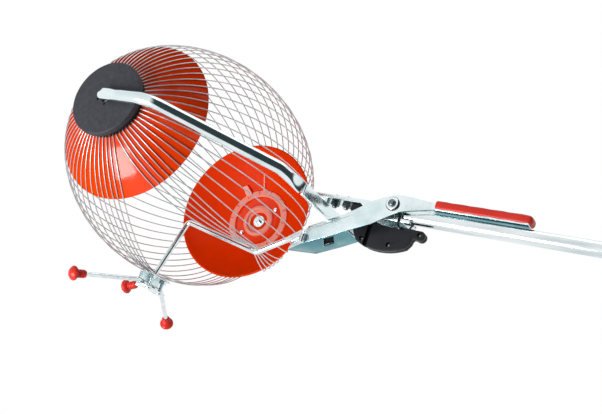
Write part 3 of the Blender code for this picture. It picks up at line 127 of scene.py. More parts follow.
def noise(tree, scale, detail, stretch):
    coords = node(tree, "TexCoord").outputs["Object"]
    mapping = node(tree, "Mapping", {"Vector": coords, "Scale": stretch}).outputs["Vector"]
    made = node(tree, "TexNoise", {"Vector": mapping, "Scale": scale, "Detail": detail,
                                   "Roughness": 0.55})
    return made.outputs["Fac"]


def material(name, stops, colour_scale, roughness, rough_scale, bump=0.0, bump_scale=0.0,
             metallic=0.0, stretch=(1, 1, 1), specular=0.5, fade=False):
    """A surface whose colour, gloss and fine relief vary with noise.

    With fade, the gloss weakens at grazing angles.
    """
    made = bpy.data.materials.new(name)
    made.use_nodes = True
    tree = made.node_tree
    shader = tree.nodes["Principled BSDF"]
    shader.inputs["Metallic"].default_value = metallic
    shader.inputs["Specular IOR Level"].default_value = specular
    sources = {
        "Base Color": ramp(tree, noise(tree, colour_scale, 5.0, stretch), stops),
        "Roughness": remap(tree, noise(tree, rough_scale, 6.0, stretch), 0.3, 0.7, *roughness),
    }
    if fade:
        facing = node(tree, "LayerWeight", {"Blend": 0.5}).outputs["Facing"]
        sources["Specular IOR Level"] = remap(tree, facing, 0.14, 0.28, specular, 0.0)
    if bump:
        grain = noise(tree, bump_scale, 3.0, stretch)
        relief = node(tree, "Bump", {"Strength": bump, "Distance": 0.0002, "Height": grain})
        sources["Normal"] = relief.outputs["Normal"]
    for socket, source in sources.items():
        tree.links.new(source, shader.inputs[socket])
    return made


ZINC = material("zinc_plate", [
    (0.28, (0.50, 0.66, 0.69)), (0.50, (0.76, 0.87, 0.89)), (0.72, (0.88, 0.95, 0.96)),
], 22.0, (0.14, 0.34), 90.0, 0.12, 260.0, 1.0)
TUBE = material("zinc_tube", [
    (0.30, (0.58, 0.70, 0.72)), (0.52, (0.74, 0.84, 0.86)), (0.75, (0.86, 0.93, 0.94)),
], 16.0, (0.08, 0.20), 90.0, 0.08, 260.0, 1.0, stretch=(4, 0.35, 4))
BAR = material("polished_bar", [
    (0.3, (0.56, 0.63, 0.65)), (0.6, (0.80, 0.85, 0.86)),
], 40.0, (0.08, 0.22), 130.0, 0.08, 420.0, 1.0, stretch=(3, 0.35, 3))
WIRE = material("bright_wire", [
    (0.3, (0.40, 0.42, 0.43)), (0.7, (0.62, 0.64, 0.65)),
], 60.0, (0.26, 0.40), 200.0, 0.1, 700.0, 1.0)
ORANGE = material("orange_moulding", [
    (0.25, (0.92, 0.044, 0.0008)), (0.6, (1.0, 0.058, 0.001)), (0.85, (0.97, 0.072, 0.002)),
], 9.0, (0.07, 0.15), 60.0, 0.04, 320.0, specular=0.36, fade=True)
INSIDE = material("orange_inside", [
    (0.25, (0.88, 0.040, 0.0008)), (0.6, (0.98, 0.056, 0.001)), (0.85, (0.97, 0.070, 0.002)),
], 9.0, (0.40, 0.55), 60.0, 0.06, 320.0, specular=0.08, fade=True)
# The ring's pale pink: its own moulding colour, lightened with a painted highlight.
RING_PAINTED_HIGHLIGHT = material("ring_moulding_and_highlight", [
    (0.3, (1.0, 0.30, 0.22)), (0.7, (1.0, 0.40, 0.31)),
], 12.0, (0.40, 0.55), 70.0, 0.06, 400.0, specular=0.8)
HUB_GREY = material("hub_grey", [
    (0.3, (0.036, 0.039, 0.047)), (0.6, (0.050, 0.054, 0.064)), (0.8, (0.062, 0.067, 0.077)),
], 180.0, (0.46, 0.64), 120.0, 0.35, 1500.0, specular=0.3)
BLACK = material("housing_black", [
    (0.3, (0.014, 0.015, 0.018)), (0.7, (0.024, 0.025, 0.030)),
], 60.0, (0.30, 0.48), 90.0, 0.3, 1300.0, specular=0.2)
# Near-black: painted shade for the floor of the housing's groove step and for the sheet seen through the
# lever's window.
BLACK_PAINTED_SHADE = material("black_painted_shade", [
    (0.3, (0.002, 0.002, 0.003)), (0.7, (0.004, 0.004, 0.005)),
], 60.0, (0.60, 0.75), 90.0, 0.2, 1300.0, specular=0.05)
NYLON = material("nylon_white", [
    (0.3, (0.62, 0.60, 0.54)), (0.7, (0.74, 0.72, 0.66)),
], 50.0, (0.34, 0.5), 90.0, 0.1, 600.0)
RED = material("red_dip", [
    (0.3, (0.76, 0.026, 0.014)), (0.6, (0.86, 0.038, 0.022)), (0.85, (0.90, 0.052, 0.032)),
], 28.0, (0.24, 0.42), 70.0, 0.15, 500.0, specular=0.35)
# Zinc darkened to a deep teal: painted shade for faces that turn downwards.
ZINC_PAINTED_SHADE = material("zinc_painted_shade", [
    (0.28, (0.07, 0.20, 0.26)), (0.5, (0.10, 0.29, 0.33)), (0.72, (0.22, 0.42, 0.44)),
], 24.0, (0.16, 0.34), 90.0, 0.12, 260.0, 1.0)
DARK_WIRE = material("spring_wire", [
    (0.3, (0.015, 0.018, 0.020)), (0.7, (0.040, 0.045, 0.048)),
], 80.0, (0.30, 0.45), 200.0, 0.1, 900.0, 1.0)
SPRING = material("spring_dark", [
    (0.3, (0.09, 0.11, 0.12)), (0.7, (0.20, 0.23, 0.24)),
], 80.0, (0.20, 0.38), 200.0, 0.1, 900.0, 1.0)


# Mesh tools

def link(name, data):
    obj = bpy.data.objects.new(name, data)
    bpy.context.scene.collection.objects.link(obj)
    return obj


def shade(mesh, angle):
    mesh.shade_smooth()
    mesh.set_sharp_from_angle(angle=radians(angle))


def make_object(name, shape, surface, angle=32.0):
    mesh = bpy.data.meshes.new(name)
    bmesh.ops.remove_doubles(shape, verts=shape.verts, dist=1e-7)
    bmesh.ops.recalc_face_normals(shape, faces=shape.faces)
    shape.to_mesh(mesh)
    shape.free()
    mesh.materials.append(surface)
    shade(mesh, angle)
    return link(name, mesh)


def bake(obj, angle=32.0):
    """Apply an object's modifiers to its mesh."""
    bpy.context.view_layer.update()
    graph = bpy.context.evaluated_depsgraph_get()
    mesh = bpy.data.meshes.new_from_object(obj.evaluated_get(graph))
    obj.modifiers.clear()
    old = obj.data
    obj.data = mesh
    bpy.data.meshes.remove(old)
    shade(mesh, angle)


def combine(obj, others, operation="DIFFERENCE"):
    for other in others:
        modifier = obj.modifiers.new("shape", "BOOLEAN")
        modifier.operation = operation
        modifier.solver = "EXACT"
        modifier.object = other
    bake(obj)
    for other in others:
        bpy.data.objects.remove(other, do_unlink=True)


def round_edges(obj, width, segments, angle=30.0):
    modifier = obj.modifiers.new("round", "BEVEL")
    modifier.width = width
    modifier.segments = segments
    modifier.limit_method = "ANGLE"
    modifier.angle_limit = radians(angle)
    bake(obj)


def paint(obj, surface, test):
    """Give a further material to the faces whose centre and normal pass the test."""
    obj.data.materials.append(surface)
    index = len(obj.data.materials) - 1
    for face in obj.data.polygons:
        if test(face.center - SPIN, face.normal):
            face.material_index = index


def ring_faces(shape, rings, closed=False, capped=False):
    pairs = list(zip(rings, rings[1:]))
    if closed:
        pairs.append((rings[-1], rings[0]))
    for first, second in pairs:
        count = max(len(first), len(second))
        for k in range(count):
            corners = [first[k % len(first)], first[(k + 1) % len(first)],
                       second[(k + 1) % len(second)], second[k % len(second)]]
            unique = list(dict.fromkeys(corners))
            if len(unique) > 2:
                shape.faces.new(unique)
    if capped:
        shape.faces.new(rings[0])
        shape.faces.new(rings[-1])


def turned(name, profile, steps, where, surface, closed=False, angle=32.0):
    """A surface turned about local Z; a closed profile makes a ring."""
    shape = bmesh.new()
    rings = []
    for radius, height in profile:
        turns = [tau * k / steps for k in range(steps if radius else 1)]
        rings.append([shape.verts.new(where @ Vector((radius * cos(a), radius * sin(a), height)))
                      for a in turns])
    ring_faces(shape, rings, closed)
    return make_object(name, shape, surface, angle)


def sweep_into(shape, path, radius, sides, flat=None):
    """Add a tube along a path; flat gives each station's two half sizes instead of a radius."""
    forward = (path[1] - path[0]).normalized()
    up = Vector((0, 0, 1)) if abs(forward.z) < 0.9 else Vector((0, 1, 0))
    rings = []
    for i, centre in enumerate(path):
        before = path[max(i - 1, 0)]
        after = path[min(i + 1, len(path) - 1)]
        forward = (after - before).normalized()
        up = (up - forward * up.dot(forward)).normalized()
        across = forward.cross(up)
        tall, wide = flat[i] if flat else (radius, radius)
        rings.append([
            shape.verts.new(centre + up * tall * cos(tau * (k + 0.5) / sides)
                            + across * wide * sin(tau * (k + 0.5) / sides))
            for k in range(sides)
        ])
    ring_faces(shape, rings, capped=True)


def sweep(name, path, radius, surface, sides, flat=None, angle=40.0):
    shape = bmesh.new()
    sweep_into(shape, path, radius, sides, flat)
    return make_object(name, shape, surface, angle)


def bent_path(corners, radii, steps=12):
    path = [corners[0]]
    for i, radius in enumerate(radii, start=1):
        back = (corners[i - 1] - corners[i]).normalized()
        ahead = (corners[i + 1] - corners[i]).normalized()
        half = back.angle(ahead) / 2
        centre = corners[i] + (back + ahead).normalized() * (radius / sin(half))
        start = corners[i] + back * (radius / tan(half)) - centre
        end = corners[i] + ahead * (radius / tan(half)) - centre
        turn = start.angle(end)
        for k in range(steps + 1):
            a = sin((1 - k / steps) * turn) / sin(turn)
            b = sin(k / steps * turn) / sin(turn)
            path.append(centre + start * a + end * b)
    path.append(corners[-1])
    return path


def plate(name, outline, low, high, where, surface):
    shape = bmesh.new()
    bottom = [shape.verts.new(where @ Vector((u, v, low))) for u, v in outline]
    top = [shape.verts.new(where @ Vector((u, v, high))) for u, v in outline]
    shape.faces.new(bottom)
    shape.faces.new(top)
    ring_faces(shape, [bottom, top])
    return make_object(name, shape, surface)


def side_plate(name, outline, low, high, surface=ZINC):
    """A plate across the cage's axis, its outline given from the cage's centre."""
    return plate(name, outline, low, high, Matrix.Translation(SPIN) @ SIDEWAYS, surface)


def block_into(shape, size, centre):
    """Add a box and return its corners."""
    block = bmesh.ops.create_cube(shape, size=1.0)["verts"]
    bmesh.ops.scale(shape, vec=size, verts=block)
    bmesh.ops.translate(shape, vec=centre, verts=block)
    return block


def cut_row(obj, size, centre, turns):
    """Cut a block out of a ring at each of the turns."""
    shape = bmesh.new()
    for turn in turns:
        bmesh.ops.transform(shape, matrix=turn, verts=block_into(shape, size, centre))
    combine(obj, [make_object("row", shape, obj.data.materials[0])])


def box(name, low, high):
    shape = bmesh.new()
    block_into(shape, Vector(high) - Vector(low), SPIN + (Vector(low) + Vector(high)) / 2)
    return make_object(name, shape, ZINC)


def arc(y, z, radius, degrees):
    return [(y + radius * cos(radians(d)), z + radius * sin(radians(d))) for d in degrees]


def mirrored(side, near, far):
    """Two distances along X on one side of the middle, the lower first."""
    return sorted((side * near, side * far))


def along_x(centre, side=1):
    return Matrix.Translation(centre) @ Matrix.Rotation(side * pi / 2, 4, "Y")


def along_y(centre):
    return Matrix.Translation(centre) @ Matrix.Rotation(-pi / 2, 4, "X")


def along(centre, direction):
    return Matrix.Translation(centre) @ direction.normalized().to_track_quat("Z", "Y").to_matrix().to_4x4()


def drill(name, radius, low, high, where, steps=24):
    return turned(name, [(0, high), (radius, high), (radius, low), (0, low)], steps, where, ZINC)


def dress(obj, body, node_name=None):
    """The piece rides on its body and, given a node, hides that node's solid and stands for it."""
    if node_name:
        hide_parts(node_name)
    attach(obj, body)


# Wires

def meridian(turn):
    return CAGE_RADIUS * cos(turn), CAGE_HALF_AXIS * sin(turn)


def wire_path(angle, pushed, pushed_radius, steps):
    """From hub to hub along the cage; the middle is moved to another angle and distance."""
    slide = pushed_radius * (pushed - angle)
    root = acos((COMB_INNER - 0.0015) / CAGE_RADIUS)
    turns = [-END_TURN, -EDGE_TURN]
    turns += [EDGE_TURN * (2 * k / steps - 1) for k in range(1, steps)]
    turns += [EDGE_TURN, root]
    path = []
    for turn in turns:
        radius, x = meridian(turn)
        pull = max(0.0, 1 - abs(x) / FREE_END)
        lift = max(0.0, 1 - abs(x) / BOWL_REACH)
        here = angle + slide * pull / radius
        radius += (pushed_radius - CAGE_RADIUS) * lift
        path.append(place(x, radius * cos(here), radius * sin(here)))
    return path


def rod_foot():
    foot = Vector((0.0, 0.0005, FOOT_TOP + GAP))
    leg = foot - APEX
    foot.z += ROD_RADIUS * abs(leg.y) / leg.length
    return foot


FOOT_END = rod_foot()


def circle_crossing(start, end):
    """Where a line leaves the cage's widest circle, seen along the axis."""
    a = start.yz
    step = end.yz - a
    half = a.dot(step) / step.length_squared
    root = sqrt(half * half - (a.length_squared - CAGE_RADIUS * CAGE_RADIUS) / step.length_squared)
    return a + step * (root - half)


def pushed_wires():
    """(own angle, pushed angle, pushed radius) of the wires that the opener holds apart."""
    leg = FOOT_END - APEX
    crossing = circle_crossing(APEX, FOOT_END)
    lean = abs(leg.yz.normalized().dot(crossing.normalized()))
    first = atan2(crossing.y, crossing.x) - BESIDE / lean / CAGE_RADIUS
    step = BUNDLE_PITCH / CAGE_RADIUS
    wires = [(WIRE_PHASE - k * WIRE_PITCH, first - (k + 0.5) * step, CAGE_RADIUS - INNER_ROW_DEPTH)
             for k in range(INNER_ROW_COUNT)]
    angle = WIRE_PHASE - INNER_ROW_COUNT * WIRE_PITCH
    spot = first
    while angle > spot:
        wires.append((angle, spot, CAGE_RADIUS))
        spot -= step
        angle -= WIRE_PITCH
    run = (APEX - VALLEY).normalized()
    above = Vector((0.0, run.z, -run.y))
    crossing = circle_crossing(APEX, VALLEY)
    limit = atan2(crossing.y, crossing.x) + BESIDE / CAGE_RADIUS
    count = ceil((limit - WIRE_PHASE) / WIRE_PITCH) - 1
    for k in range(count):
        spot = VALLEY + run * (REAR_BUNDLE_START + k * BUNDLE_PITCH) + above * BESIDE
        wires.append((WIRE_PHASE + (count - k) * WIRE_PITCH, atan2(spot.z, spot.y), spot.yz.length))
    return wires


def make_wires():
    pushed = pushed_wires()
    taken = {round((wire[0] - WIRE_PHASE) / WIRE_PITCH) % WIRE_COUNT for wire in pushed}
    shape = bmesh.new()
    for k in range(WIRE_COUNT):
        if k not in taken:
            angle = WIRE_PHASE + k * WIRE_PITCH
            sweep_into(shape, wire_path(angle, angle, CAGE_RADIUS, 56), WIRE_RADIUS, 8)
    dress(make_object("wires_even", shape, WIRE, 60), "cage", "cage_wires")
    for k, wire in enumerate(pushed, start=1):
        piece = sweep(f"wire_pushed_{k:02d}", wire_path(*wire, 72), WIRE_RADIUS, WIRE, 8, angle=60)
        dress(piece, "cage", "cage_wires")
        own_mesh(piece)


# Hubs

def offset_meridian(turn, inwards):
    radius, x = meridian(turn)
    out = Vector((cos(turn) / CAGE_RADIUS, sin(turn) / CAGE_HALF_AXIS)).normalized()
    return radius - out.x * inwards, x - out.y * inwards


OUTSIDE = SEAT_RADIUS + GAP
FLOOR = offset_meridian(END_TURN, OUTSIDE)[1]
FLOOR_BACK = FLOOR - BOWL_WALL


def bowl_height(radius):
    inner = offset_meridian(END_TURN, OUTSIDE)
    outer = offset_meridian(EDGE_TURN, OUTSIDE)
    return inner[1] + (radius - inner[0]) / (outer[0] - inner[0]) * (outer[1] - inner[1])


def make_bowl(label, side):
    turns = [END_TURN, EDGE_TURN] + [EDGE_TURN + (RIM_TURN - EDGE_TURN) * k / 14 for k in range(1, 15)]
    outside = [offset_meridian(t, WIRE_RADIUS + 0.0002) for t in turns]
    inside = [offset_meridian(t, OUTSIDE + BOWL_WALL) for t in turns]
    share = (inside[0][1] - FLOOR_BACK) / (inside[0][1] - inside[1][1])
    corner = inside[0][0] + share * (inside[1][0] - inside[0][0])
    rim_out, rim_in = outside[-1], inside[-1]
    lip = ((rim_out[0] + rim_in[0]) / 2, (rim_out[1] + rim_in[1]) / 2 - 0.0004)
    profile = [(BOWL_HOLE, FLOOR)] + outside + [lip] + list(reversed(inside[1:]))
    profile += [(corner, FLOOR_BACK), (BOWL_HOLE, FLOOR_BACK)]
    bowl = turned(label + "_bowl_shell", profile, 144, along_x(SPIN, side), ORANGE, True, 25)
    paint(bowl, INSIDE, lambda spot, normal: spot.dot(normal) < 0 and hypot(spot.y, spot.z) > 0.008)
    dress(bowl, "cage", label + "_bowl")


def make_comb(label, side, node_name):
    lip = COMB_INNER + 0.0012
    seat = FLOOR + GAP
    profile = [
        (COMB_BORE, COMB_BACK),
        (RING_RADIUS - 0.0006, COMB_BACK),
        (RING_RADIUS, COMB_BACK - 0.0006),
        (RING_RADIUS, bowl_height(RING_RADIUS) + GAP + 0.0006),
        (RING_RADIUS - 0.0006, bowl_height(RING_RADIUS - 0.0006) + GAP),
        (lip, bowl_height(lip) + GAP),
        (COMB_INNER - 0.0004, seat),
        (COMB_BORE, seat),
    ]
    ring = turned(label + "_comb", profile, 120, along_x(SPIN, side), BLACK, True)
    floor = meridian(END_TURN)[1] + SEAT_RADIUS + GAP
    low = bowl_height(HUB_RADIUS) - 0.004
    reach = HUB_RADIUS + 0.002 - COMB_INNER
    cut_row(ring, (floor - low, reach, 0.0024), (side * (floor + low) / 2, COMB_INNER + reach / 2, 0),
            [Matrix.Translation(SPIN) @ Matrix.Rotation(WIRE_PHASE + k * WIRE_PITCH, 4, "X")
             for k in range(WIRE_COUNT)])
    dress(ring, "cage", node_name)


def make_cap(label, side):
    seat = FLOOR + GAP
    back = COMB_BACK + GAP
    r = 0.0020
    edge = [(HUB_RADIUS - r + r * sin(a), HUB_FACE - r + r * cos(a))
            for a in (radians(15 * k) for k in range(7))]
    profile = [(0.0055, HUB_FACE - 0.0006), (0.0062, HUB_FACE)]
    profile += edge + [(HUB_RADIUS, back + 0.0005), (HUB_RADIUS - 0.0005, back), (COMB_BORE, back),
                       (COMB_BORE, 0.199), (0.013, 0.199), (0.013, seat), (0.0055, seat)]
    cap = turned(label + "_hub_disc", profile, 120, along_x(SPIN, side), HUB_GREY, True)
    combine(cap, [drill(f"pin_{k}", 0.00165, 0.2002, 0.21, along_x(place(0, y, z), side))
                  for k, (y, z) in enumerate(PIN_HOLES)])
    dress(cap, "cage", label + "_hub_cap")


def wall_point(radius, inwards=0.0):
    """A point on the bowl's inside, or set in from it."""
    turn = acos(radius / CAGE_RADIUS)
    return offset_meridian(turn, OUTSIDE + BOWL_WALL + GAP + inwards)


RECESS = 0.0020
RECESS_INNER = 0.0244
RECESS_OUTER = 0.0382
TICK_COUNT = 14
TICK_MIDDLE = 0.0452
TICK_LENGTH = 0.0070
TICK_DEPTH = 0.0007


def make_clamp_ring(label, side):
    """The ring that clamps the bowl's floor: a broad flange, a recess and a raised middle."""
    top = FLOOR_BACK - GAP
    low = top - 0.0055
    recess = top - RECESS
    wall = [wall_point(r) for r in (0.0455, 0.0480, 0.0505)]
    profile = [(0.0142, top), (0.0385, top)] + wall
    profile += [(wall[-1][0] - 0.0002, low + 0.0006), (wall[-1][0] - 0.0010, low), (0.0392, low),
                (RECESS_OUTER, low + 0.0005), (0.0374, recess - 0.0004), (0.0366, recess), (0.0252, recess),
                (RECESS_INNER, recess - 0.0008), (0.0236, low + 0.0004), (0.0228, low), (0.0196, low),
                (0.0188, low + 0.0006), (0.0184, recess), (0.0142, recess)]
    where = along_x(SPIN, side)
    # The flange and ribs are pale pink, a painted highlight over the orange; the recess keeps the plain
    # orange.
    ring = turned(label + "_ring", profile, 96, where, RING_PAINTED_HIGHLIGHT, True, 25)
    paint(ring, ORANGE, lambda spot, normal: RECESS_INNER < hypot(spot.y, spot.z) < RECESS_OUTER)
    cut_row(ring, (TICK_LENGTH, 0.0011, 2 * TICK_DEPTH), (TICK_MIDDLE, 0, low),
            [where @ Matrix.Rotation(tau * (k + 0.35) / TICK_COUNT, 4, "Z") for k in range(TICK_COUNT)])
    paint(ring, RED, lambda spot, normal: (
        -0.0002 < low + TICK_DEPTH - abs(spot.x) < 0.0005
        and abs(hypot(spot.y, spot.z) - TICK_MIDDLE) < TICK_LENGTH / 2))
    combine(ring, [wall_rib(side, 128, 0.0630, 0.0050, 0.0044, 0.0044),
                   wall_rib(side, 97, 0.0725, 0.0013, 0.0040, 0.0006)], "UNION")
    dress(ring, "cage", label + "_clamp_ring")


def wall_rib(side, degrees, end, half_width, height, end_height):
    """A rib that runs out from the ring along the bowl's wall."""
    angle = radians(degrees)
    out = Vector((0, cos(angle), sin(angle)))
    across = Vector((0, -sin(angle), cos(angle)))
    start = 0.0478
    shape = bmesh.new()
    rings = []
    for k in range(5):
        radius = start + (end - start) * k / 4
        tall = height + (end_height - height) * k / 4
        wide = half_width * (1 - 0.35 * k / 4)
        ring = []
        for inwards, x in ((-0.0002, -1), (-0.0002, 1), (tall, 1), (tall, -1)):
            r, depth = wall_point(radius, inwards)
            ring.append(shape.verts.new(SPIN + out * r + across * wide * x + Vector((side * depth, 0, 0))))
        rings.append(ring)
    ring_faces(shape, rings, capped=True)
    return make_object("rib", shape, RING_PAINTED_HIGHLIGHT)


def fine_bolt(name, where, radius, head, height, length, body, node_name, grip=0.0, surface=ZINC):
    """A bolt with a domed head and a ringed thread."""
    dome = ((0, 1), (0.35, 0.96), (0.62, 0.86), (0.84, 0.62), (0.96, 0.34), (1, 0.12), (0.98, 0))
    profile = [(head * r, height * z) for r, z in dome]
    z = -grip
    profile += [(radius, 0.0), (radius, z)]
    while z > -length + THREAD * 2:
        profile += [(radius - THREAD * 0.45, z - THREAD * 0.5), (radius, z - THREAD)]
        z -= THREAD
    profile += [(radius * 0.8, -length), (0.0, -length)]
    dress(turned(name, profile, 28, where, surface, False, 28), body, node_name)


def fine_nut(name, where, bore, across, low, high, body, node_name, surface=ZINC):
    """A hexagon nut with its corners turned off at both faces."""
    nut = turned(name, [(bore, high), (across, high), (across, low), (bore, low)], 6, where, surface, True)
    cone, wide, drop = across * 0.94, across * 1.04, across * 0.12
    trim = turned("trim", [(0, high + 0.0002), (cone, high + 0.0002), (wide, high - drop),
                           (wide, low + drop), (cone, low - 0.0002), (0, low - 0.0002)], 40, where, ZINC)
    combine(nut, [trim], "INTERSECT")
    combine(nut, [drill("bore", bore, low - 0.002, high + 0.002, where, 28)])
    dress(nut, body, node_name)


def fine_washer(name, where, outer, low, high, body, node_name, surface=ZINC):
    """A washer or sleeve on a bolt or pin, its outer edges rounded."""
    r = min(0.0003, (high - low) * 0.2)
    profile = [(BOLT_HOLE, high), (outer - r, high), (outer, high - r), (outer, low + r), (outer - r, low),
               (BOLT_HOLE, low)]
    dress(turned(name, profile, 40, where, surface, True), body, node_name)


def make_hub(label, side):
    make_bowl(label, side)
    make_cap(label, side)
    make_clamp_ring(label, side)
    where = along_x(SPIN, side)
    fine_washer(label + "_bush", where, 0.0052, FLOOR_BACK, HUB_FACE - 0.0030, "cage",
                label + "_hub_bush", NYLON)
    spacer = HUB_FACE + 2 * GAP
    # The spacer takes the dark spring wire: painted shade under the arm's end.
    fine_washer(label + "_spacer", where, 0.0048, spacer, spacer + SPACER, "frame",
                label + "_axle_washer", DARK_WIRE)
    top = FLOOR_BACK - GAP
    fine_washer(label + "_clip", where, 0.009, top - 0.0012, top, "frame", label + "_axle_clip")
    inner = FLOOR_BACK - 0.0033 - 0.003
    pin = turned(label + "_pin", [(0, PAD_MIDDLE), (0.0030, PAD_MIDDLE), (0.0030, inner + 0.0006),
                                  (0.0024, inner), (0, inner)], 40, where, ZINC)
    dress(pin, "frame", label + "_axle_pin")
    seat = Matrix.Translation((0, 0, top - RECESS - GAP)) @ Matrix.Rotation(pi, 4, "X")
    for k in range(2):
        angle = tau * (k + 0.25) / 2
        spot = place(0, 0.031 * cos(angle), 0.031 * sin(angle))
        fine_bolt(f"{label}_screw_{k + 1}", along_x(spot, side) @ seat, 0.0020, 0.0038, 0.0022, 0.0172,
                  "cage", f"{label}_hub_screw_{k + 1}")


# Yoke

SPACER = 0.0036
PAD_HALF = 0.0029
PAD_MIDDLE = HUB_FACE + 3 * GAP + SPACER + PAD_HALF
ARM_RADIUS = 0.0076
ARM_OUT = HUB_FACE + ARM_RADIUS + 0.001
BRACKET_BOLTS = (0.2234, 0.2394)


def smooth(s):
    return s * s * (3 - 2 * s)


def make_arm(label, side):
    """The tube with its flattened ends; stations carry (half height, half thickness)."""
    strip_end = Vector((0.068, 0.214, -0.0252))
    corners = [Vector((ARM_OUT, 0.024, 0)), Vector((ARM_OUT, 0.071, 0)),
               Vector((0.091, 0.190, -0.013)), strip_end]
    bends = bent_path(corners, [0.040, 0.030])
    tall, thin = 0.0072, PAD_HALF
    stations = []
    for k in range(5):
        a = radians(22.5 * k)
        stations.append((Vector((PAD_MIDDLE, -0.0004 - 0.0036 * cos(a), 0.0030 - 0.0014 * sin(a))),
                         (tall * (0.42 + 0.58 * sin(a)), thin * (0.55 + 0.45 * sin(a)))))
    stations.append((Vector((PAD_MIDDLE, 0.008, 0.0014)), (tall, thin)))
    for k in range(1, 10):
        s = k / 10
        ease = smooth(s)
        stations.append((
            Vector((PAD_MIDDLE + (ARM_OUT - PAD_MIDDLE) * ease, 0.008 + 0.026 * s, 0.0014 * (1 - ease))),
            (tall + (ARM_RADIUS - tall) * ease, thin + (ARM_RADIUS - thin) * ease)))
    stations += [(p, (ARM_RADIUS, ARM_RADIUS)) for p in bends[1:-1] if p.y >= 0.036]
    for k in range(1, 12):
        s = k / 11
        ease = smooth(min(max((s - 0.35) / 0.6, 0), 1))
        stations.append((bends[-2].lerp(strip_end, s),
                         (ARM_RADIUS + 0.0006 * ease, ARM_RADIUS + (thin - ARM_RADIUS) * ease)))
    path = [SPIN + Vector((side * p.x, p.y, p.z)) for p, size in stations]
    arm = sweep(label + "_arm", path, 0, TUBE, 32, [size for p, size in stations], 50)
    dress(arm, "frame", label + "_yoke_arm")


def bolt_ways(name, low, high):
    return [drill(f"{name}_{k}", BOLT_HOLE, low, high, Matrix.Translation(place(0, y, 0)))
            for k, y in enumerate(BRACKET_BOLTS)]


def make_crossbar():
    end = 0.0655
    bar = box("crossbar", (-end, 0.2111, -0.0331), (end, 0.2169, -0.0173))
    round_edges(bar, 0.0022, 4)
    half = 0.009
    top = -0.0091
    tab = box("tab", (-half, 0.2121, top - 0.003), (half, 0.2479, top))
    riser = box("riser", (-half, 0.2121, -0.0252), (half, 0.2159, top - 0.001))
    combine(bar, [riser, tab], "UNION")
    combine(bar, bolt_ways("hole", -0.03, 0.03))
    dress(bar, "frame", "yoke_crossbar")


def bracket_outline():
    ear = arc(PIVOT.y, PIVOT.z, 0.0085, range(20, 165, 10))
    return [(0.195, -0.0122), (0.262, -0.0122), (0.268, -0.017), (0.286, -0.017), (0.298, -0.0276),
            (0.332, -0.0276), (0.332, -0.009), *ear, (0.195, -0.007)]


def make_bracket():
    half = 0.0111
    bracket = side_plate("bracket", bracket_outline(), -half, half)
    round_edges(bracket, 0.0012, 3, 60.0)
    inner = [(0.185, -0.04), (0.3225, -0.04), (0.3225, -0.0258), (0.345, -0.0258), (0.345, 0.013),
             (0.290, 0.013), (0.290, -0.0088), (0.185, -0.0088)]
    holes = [drill("pivot_hole", BOLT_HOLE, -0.03, 0.03, along_x(HINGE))]
    holes += bolt_ways("web_hole", -0.012, 0.01)
    rear = box("rear_room", (-0.03, 0.3190, -0.0236), (0.03, 0.36, 0.02))
    combine(bracket, [side_plate("inside", inner, -0.0093, 0.0093), rear] + holes)
    dress(bracket, "frame", "yoke_bracket")
    for k, y in enumerate(BRACKET_BOLTS, start=1):
        seat = Matrix.Translation(place(0, y, -0.0067))
        fine_bolt(f"bracket_bolt_fine_{k}", seat, 0.0030, 0.0052, 0.0030, 0.0135, "frame",
                  f"bracket_bolt_{k}", 0.006, SPRING)
        fine_nut(f"bracket_nut_fine_{k}", seat, BOLT_HOLE, 0.0056, -0.0107, -0.0057, "frame",
                 f"bracket_nut_{k}", SPRING)


# Handle

def make_handle():
    where = along_y(place(0, 0, -0.0165))
    tube = [(0.0075, 0.3195), (0.0085, 0.3195), (0.0090, 0.3200), (0.0090, 0.8848), (0.0075, 0.8848)]
    dress(turned("tube", tube, 64, where, BAR, True, 25), "frame", "handle_tube")
    plug = [(0, 0.3315), (0.0072, 0.3315), (0.0072, 0.3192), (0.0085, 0.3192), (0.0085, 0.3186),
            (0.0079, 0.3180), (0, 0.3180)]
    dress(turned("plug", plug, 48, where, BLACK), "frame", "tube_front_plug")
    cap = [(0, 0.8890), (0.0080, 0.8890), (0.0095, 0.8884), (0.0104, 0.8872), (0.0109, 0.8855),
           (0.0109, 0.8700)]
    for k in range(4):
        y = 0.8690 - 0.0016 * k
        cap += [(0.0109, y), (0.0105, y - 0.0004), (0.0105, y - 0.0008), (0.0109, y - 0.0012)]
    cap += [(0.0109, 0.8614), (0.0105, 0.8610), (0.0093, 0.8610), (0.0093, 0.8853), (0, 0.8853)]
    dress(turned("end_cap", cap, 64, where, BLACK, False, 28), "frame", "handle_end_cap")


# Quadrant housing

LUG = Vector((0.3463, -0.0382))
HOUSING_HALF = 0.0050
BELLY = Vector((0.2993, 0.0063))
BELLY_RADIUS = 0.0703


def housing_outline():
    """The round belly, the corner, the lug behind it and the flat top that runs up to the neck."""
    belly = arc(*BELLY, BELLY_RADIUS, [-116 + 54 * k / 24 for k in range(25)])
    corner = [(0.3348, -0.0520), (0.3366, -0.0490), (0.3372, -0.0455), (0.3382, -0.0432), (0.3405, -0.0427)]
    lug = arc(*LUG, 0.0060, range(-105, 96, 12))
    top = [(0.3400, -0.0322), (0.3331, -0.0315), (0.3240, -0.0317), (0.3205, -0.0305), (0.3190, -0.0310),
           (0.3180, -0.0337), (0.3121, -0.0341), (0.2950, -0.0325), (0.2750, -0.0262), (0.2620, -0.0173)]
    neck = [(0.2495, -0.0173), (0.2535, -0.0270), (0.2562, -0.0380), (0.2608, -0.0460), (0.2642, -0.0520)]
    return belly + corner + lug + top + neck


